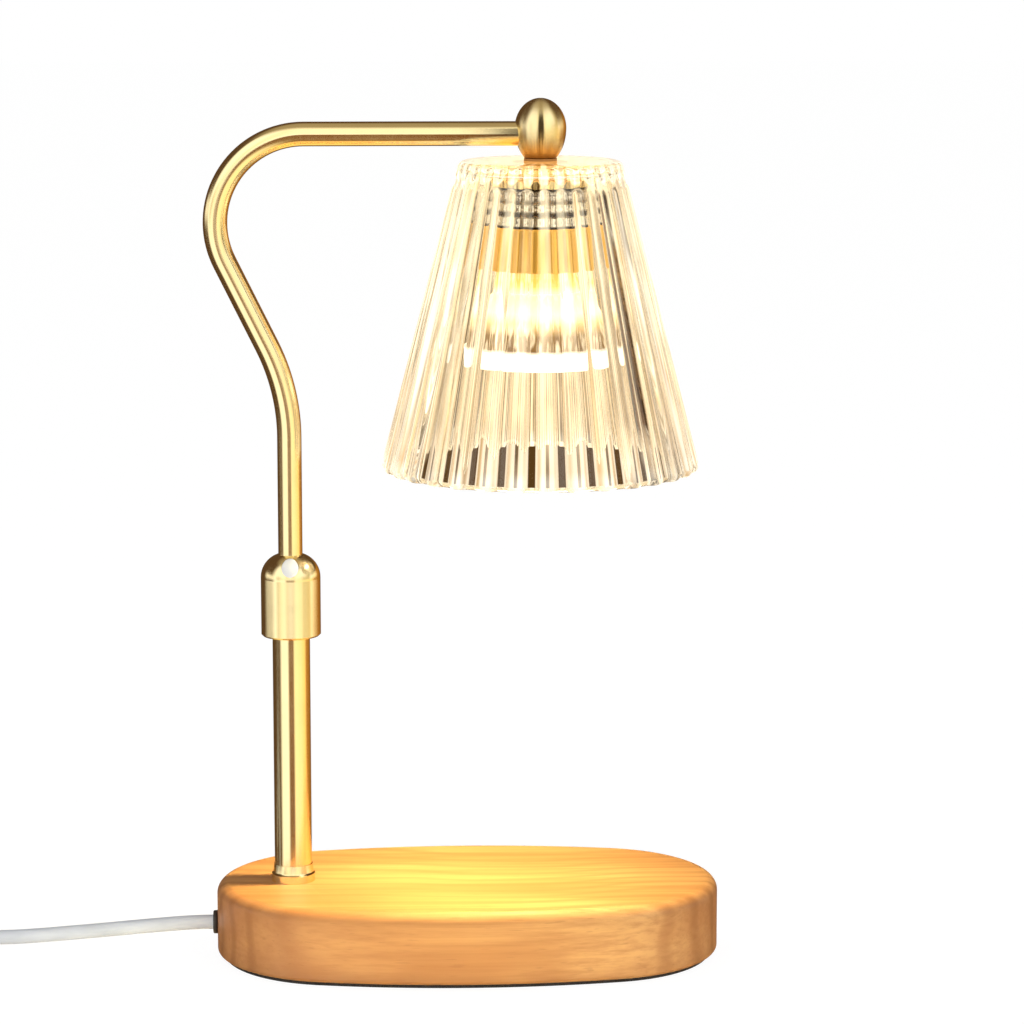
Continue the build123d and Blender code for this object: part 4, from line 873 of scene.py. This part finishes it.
# ---------------------------------------------------------------- lampholder and bulb
smooth_copy("holder_cap", "holder_top_cap", lamp, angle=28)
smooth_copy("holder_sleeve", "holder_band", lamp, rule=upright_wall(lamp))
smooth_copy("holder_cup", "holder_skirt", lamp, angle=28, finish="lit_gilt")
smooth_copy("bulb_base", "bulb_neck", lamp, angle=28, finish="bulb_glass")
reflector_piece = smooth_copy("bulb_reflector", "bulb_bowl", lamp, angle=50)
lens_piece = smooth_copy("bulb_lens", "bulb_front_glass", lamp, angle=50)
for lit in (reflector_piece, lens_piece, frame["nodes"]["bulb_capsule"]):
    hide_from(lit, "diffuse")


# ---------------------------------------------------------------- dimmer, plug and tie
smooth_copy("cord_grommet", "cord_bush", Vector((0, 0, 0.011)), "X", angle=35)
lower_case = smooth_copy("dimmer_lower", "dimmer_case_lower", angle=40)
upper_case = smooth_copy("dimmer_upper", "dimmer_case_upper", angle=40)
wheel_piece = smooth_copy("dimmer_wheel", "dimmer_thumbwheel", angle=30)
plug_piece = smooth_copy("plug_body", "plug_housing", angle=40)
plug_relief = smooth_copy("plug_boot", "plug_strain_relief", angle=28)
tie_piece = smooth_copy("coil_tie", "cord_tie", angle=30)


# ---------------------------------------------------------------- studio
def studio_floor():
    """White paper. It throws light back, and a ray that looks at it mostly meets an even glow."""
    mesh = bpy.data.meshes.new("floor")
    build = bmesh.new()
    bmesh.ops.create_grid(build, x_segments=1, y_segments=1, size=6.0)
    build.to_mesh(mesh)
    build.free()
    floor = object_of("floor", mesh)
    floor.location.z = -0.0002
    material = bpy.data.materials.new("white_floor")
    material.use_nodes = True
    material.node_tree.nodes.clear()
    n = Nodes(material.node_tree)
    rays = n.node("ShaderNodeLightPath").outputs
    seen = n.math("MAXIMUM", rays["Is Camera Ray"], rays["Is Glossy Ray"])
    seen = n.math("MAXIMUM", seen, rays["Is Transmission Ray"])
    paper = n.node("ShaderNodeBsdfDiffuse", Color=(0.9, 0.9, 0.9, 1)).outputs[0]
    glow = n.node("ShaderNodeEmission", Color=(1, 1, 1, 1), Strength=1.10).outputs[0]
    n.node("ShaderNodeOutputMaterial", Surface=n.mix_shaders(n.math("MULTIPLY", seen, 0.86), paper, glow))
    mesh.materials.append(material)
    hide_from(floor, "glossy", "transmission")


def dark_flag():
    """Narrow dark card close before the ball. Only gloss sees it, as the dark line down the ball's middle."""
    mesh = bpy.data.meshes.new("dark_flag")
    ahead, level, half_width, half_height = 0.06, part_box("ball_finial")[0].z + 0.022, 0.0125, 0.06
    corners = [
        (lamp.x + side * half_width, -ahead, level + up * half_height)
        for side, up in ((-1, -1), (1, -1), (1, 1), (-1, 1))
    ]
    mesh.from_pydata(corners, [], [(0, 1, 2, 3)])
    flag = object_of("dark_flag", mesh)
    mesh.materials.append(Finish("dark_card", (0.03, 0.016, 0.006), Roughness=1.0).material)
    hide_from(flag, "camera", "diffuse", "transmission", "shadow")


def studio_world():
    """White where it is seen, and soft light on matt surfaces. Gloss sees a tent of pale and dark panels, and a ray
    that has passed glass sees pale and dark strips."""
    world = bpy.data.worlds.new("studio")
    scene.world = world
    world.use_nodes = True
    world.node_tree.nodes.clear()
    n = Nodes(world.node_tree)
    here = n.node("ShaderNodeTexCoord").outputs["Generated"]
    x, y, z = n.node("ShaderNodeSeparateXYZ", Vector=here).outputs
    # Share of a full turn, 0.5 towards the front (-Y), less to the left and more to the right.
    turn = n.math("ADD", n.math("DIVIDE", n.math("ARCTAN2", x, n.math("MULTIPLY", y, -1.0)), 2 * pi), 0.5)

    def panels(*stops):
        """Colours round the lamp. The stops are (degrees from the front, colour), with less than 0 to the left."""
        return n.ramp(turn, [(0.5 + degrees / 360, colour) for degrees, colour in stops])

    def upto(low, high):
        """1 below one elevation in degrees and 0 above the other."""
        return n.between(z, sin(radians(high)), sin(radians(low)))

    def belt(low, high):
        """1 between two elevations in degrees, with edges one degree wide."""
        return n.math("MULTIPLY", upto(high - 1, high), n.math("SUBTRACT", 1.0, upto(low, low + 1)))

    # The tent, from its panels level with the lamp to those above and below.
    umber, brown, orange = (0.075, 0.042, 0.020), (0.15, 0.055, 0.008), (0.40, 0.17, 0.025)
    cream, gold, honey = (1.0, 0.97, 0.90), (1.0, 0.86, 0.56), (1.0, 0.70, 0.26)
    olive, pale = (0.46, 0.39, 0.25), (0.86, 0.78, 0.56)
    level = panels(
        (-180, umber), (-76, umber), (-60, cream), (-23, cream), (-12, brown), (11, brown), (21, gold),
        (62, (1.0, 0.84, 0.48)), (88, honey), (106, orange), (180, umber),
    )
    girdle = panels(
        (-180, umber), (-120, umber), (-102, cream), (-62, cream), (-49, olive), (-34, pale), (0, cream), (42, pale),
        (52, olive), (77, olive), (86, cream), (112, gold), (132, orange), (180, umber),
    )
    above = panels(
        (-180, umber), (-82, umber), (-62, cream), (-27, cream), (-13, pale), (0, cream), (13, pale), (26, cream),
        (62, cream), (78, olive), (92, umber), (180, umber),
    )
    below = panels(
        (-180, honey), (-135, honey), (-110, umber), (-84, umber), (-64, honey), (-38, honey), (-20, brown),
        (20, brown), (38, honey), (72, gold), (94, brown), (120, umber), (140, honey), (180, honey),
    )
    zenith, nadir = (0.30, 0.24, 0.15), (1.0, 0.62, 0.22)
    tent = n.mix(upto(9, 12), above, girdle)
    tent = n.mix(upto(-4, -1), tent, level)
    tent = n.mix(upto(-62, -44), tent, below)
    tent = n.mix(upto(50, 72), zenith, tent)
    tent = n.mix(upto(-76, -62), tent, nadir)

    # The strips past the glass, with a brown card straight behind and a dark belt below.
    white, flag, amber = (1.0, 0.99, 0.96), (0.08, 0.04, 0.014), (0.62, 0.41, 0.20)
    linen, sand = (0.95, 0.88, 0.77), (0.84, 0.73, 0.60)
    past_glass = panels(
        (-180, sand), (-168, linen), (-158, amber), (-146, white), (-134, cream), (-118, amber), (-108, flag),
        (-98, flag), (-94, cream), (-80, flag), (-62, flag), (-56, white), (-30, white), (-24, flag), (6, flag),
        (12, white), (40, white), (46, flag), (66, flag), (72, white), (98, white), (104, amber), (112, flag),
        (122, flag), (126, cream), (140, amber), (146, white), (156, amber), (166, linen), (180, sand),
    )
    behind = n.ramp(turn, [(0.0, 1.0), (0.0065, 1.0), (0.0085, 0.0), (0.9805, 0.0), (0.9825, 1.0), (1.0, 1.0)])
    past_glass = n.mix(belt(-16, -1), past_glass, (0.97, 0.92, 0.86), blend="MULTIPLY")
    past_glass = n.mix(n.math("MULTIPLY", behind, belt(-15, -2)), past_glass, (0.085, 0.042, 0.012))
    past_glass = n.mix(upto(-31, -27), past_glass, (0.10, 0.07, 0.045))
    past_glass = n.mix(upto(-55, -50), past_glass, (0.98, 0.86, 0.66))

    even = (1.0, 1.0, 1.0, 1.0)
    soft, gloss, through, plain = (
        n.node("ShaderNodeBackground", Color=colour, Strength=strength).outputs[0]
        for colour, strength in ((even, 0.40), (tent, 1.5), (past_glass, 1.2), (even, 1.0))
    )
    rays = n.node("ShaderNodeLightPath").outputs
    sharp = n.math("MULTIPLY", rays["Is Singular Ray"], n.math("SUBTRACT", 1.0, rays["Is Camera Ray"]))
    mixed = n.mix_shaders(rays["Is Glossy Ray"], soft, gloss)
    mixed = n.mix_shaders(rays["Is Transmission Ray"], mixed, through)
    mixed = n.mix_shaders(sharp, mixed, through)
    mixed = n.mix_shaders(rays["Is Camera Ray"], mixed, plain)
    n.node("ShaderNodeOutputWorld", Surface=mixed)


def area_light(name, place, towards, power, colour, **settings):
    data = bpy.data.lights.new(name, "AREA")
    data.energy, data.color = power, colour
    for key, value in settings.items():
        setattr(data, key, value)
    light = object_of(name, data)
    light.location = place
    light.rotation_euler = (Vector(towards) - Vector(place)).to_track_quat("-Z", "Y").to_euler()
    return light


def studio_lights():
    """Two soft boxes in front, a weak one overhead, and the warm light of the bulb itself."""
    daylight, target = (1.0, 0.99, 0.975), (0, 0, 0.12)
    for name, place, power in (
        ("soft_box_left", (-0.75, -1.05, 0.34), 3.7), ("soft_box_right", (0.95, -0.9, 0.34), 3.8),
        ("soft_box_top", (0.0, 0.1, 1.3), 0.8),
    ):
        box = area_light(name, place, target, power, daylight, shape="SQUARE", size=0.7)
        hide_from(box, "glossy", "transmission")
    bulb = area_light(
        "bulb_light", (lamp.x, 0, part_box("bulb_lens")[0].z - 1.5 * MM), (lamp.x - 0.05, -0.03, 0), 0.40,
        (1.0, 0.90, 0.52), shape="DISK", size=0.030, spread=radians(84),
    )
    hide_from(bulb, "camera", "glossy", "transmission")


studio_floor()
dark_flag()
studio_world()
studio_lights()
scene.view_settings.view_transform = "Standard"
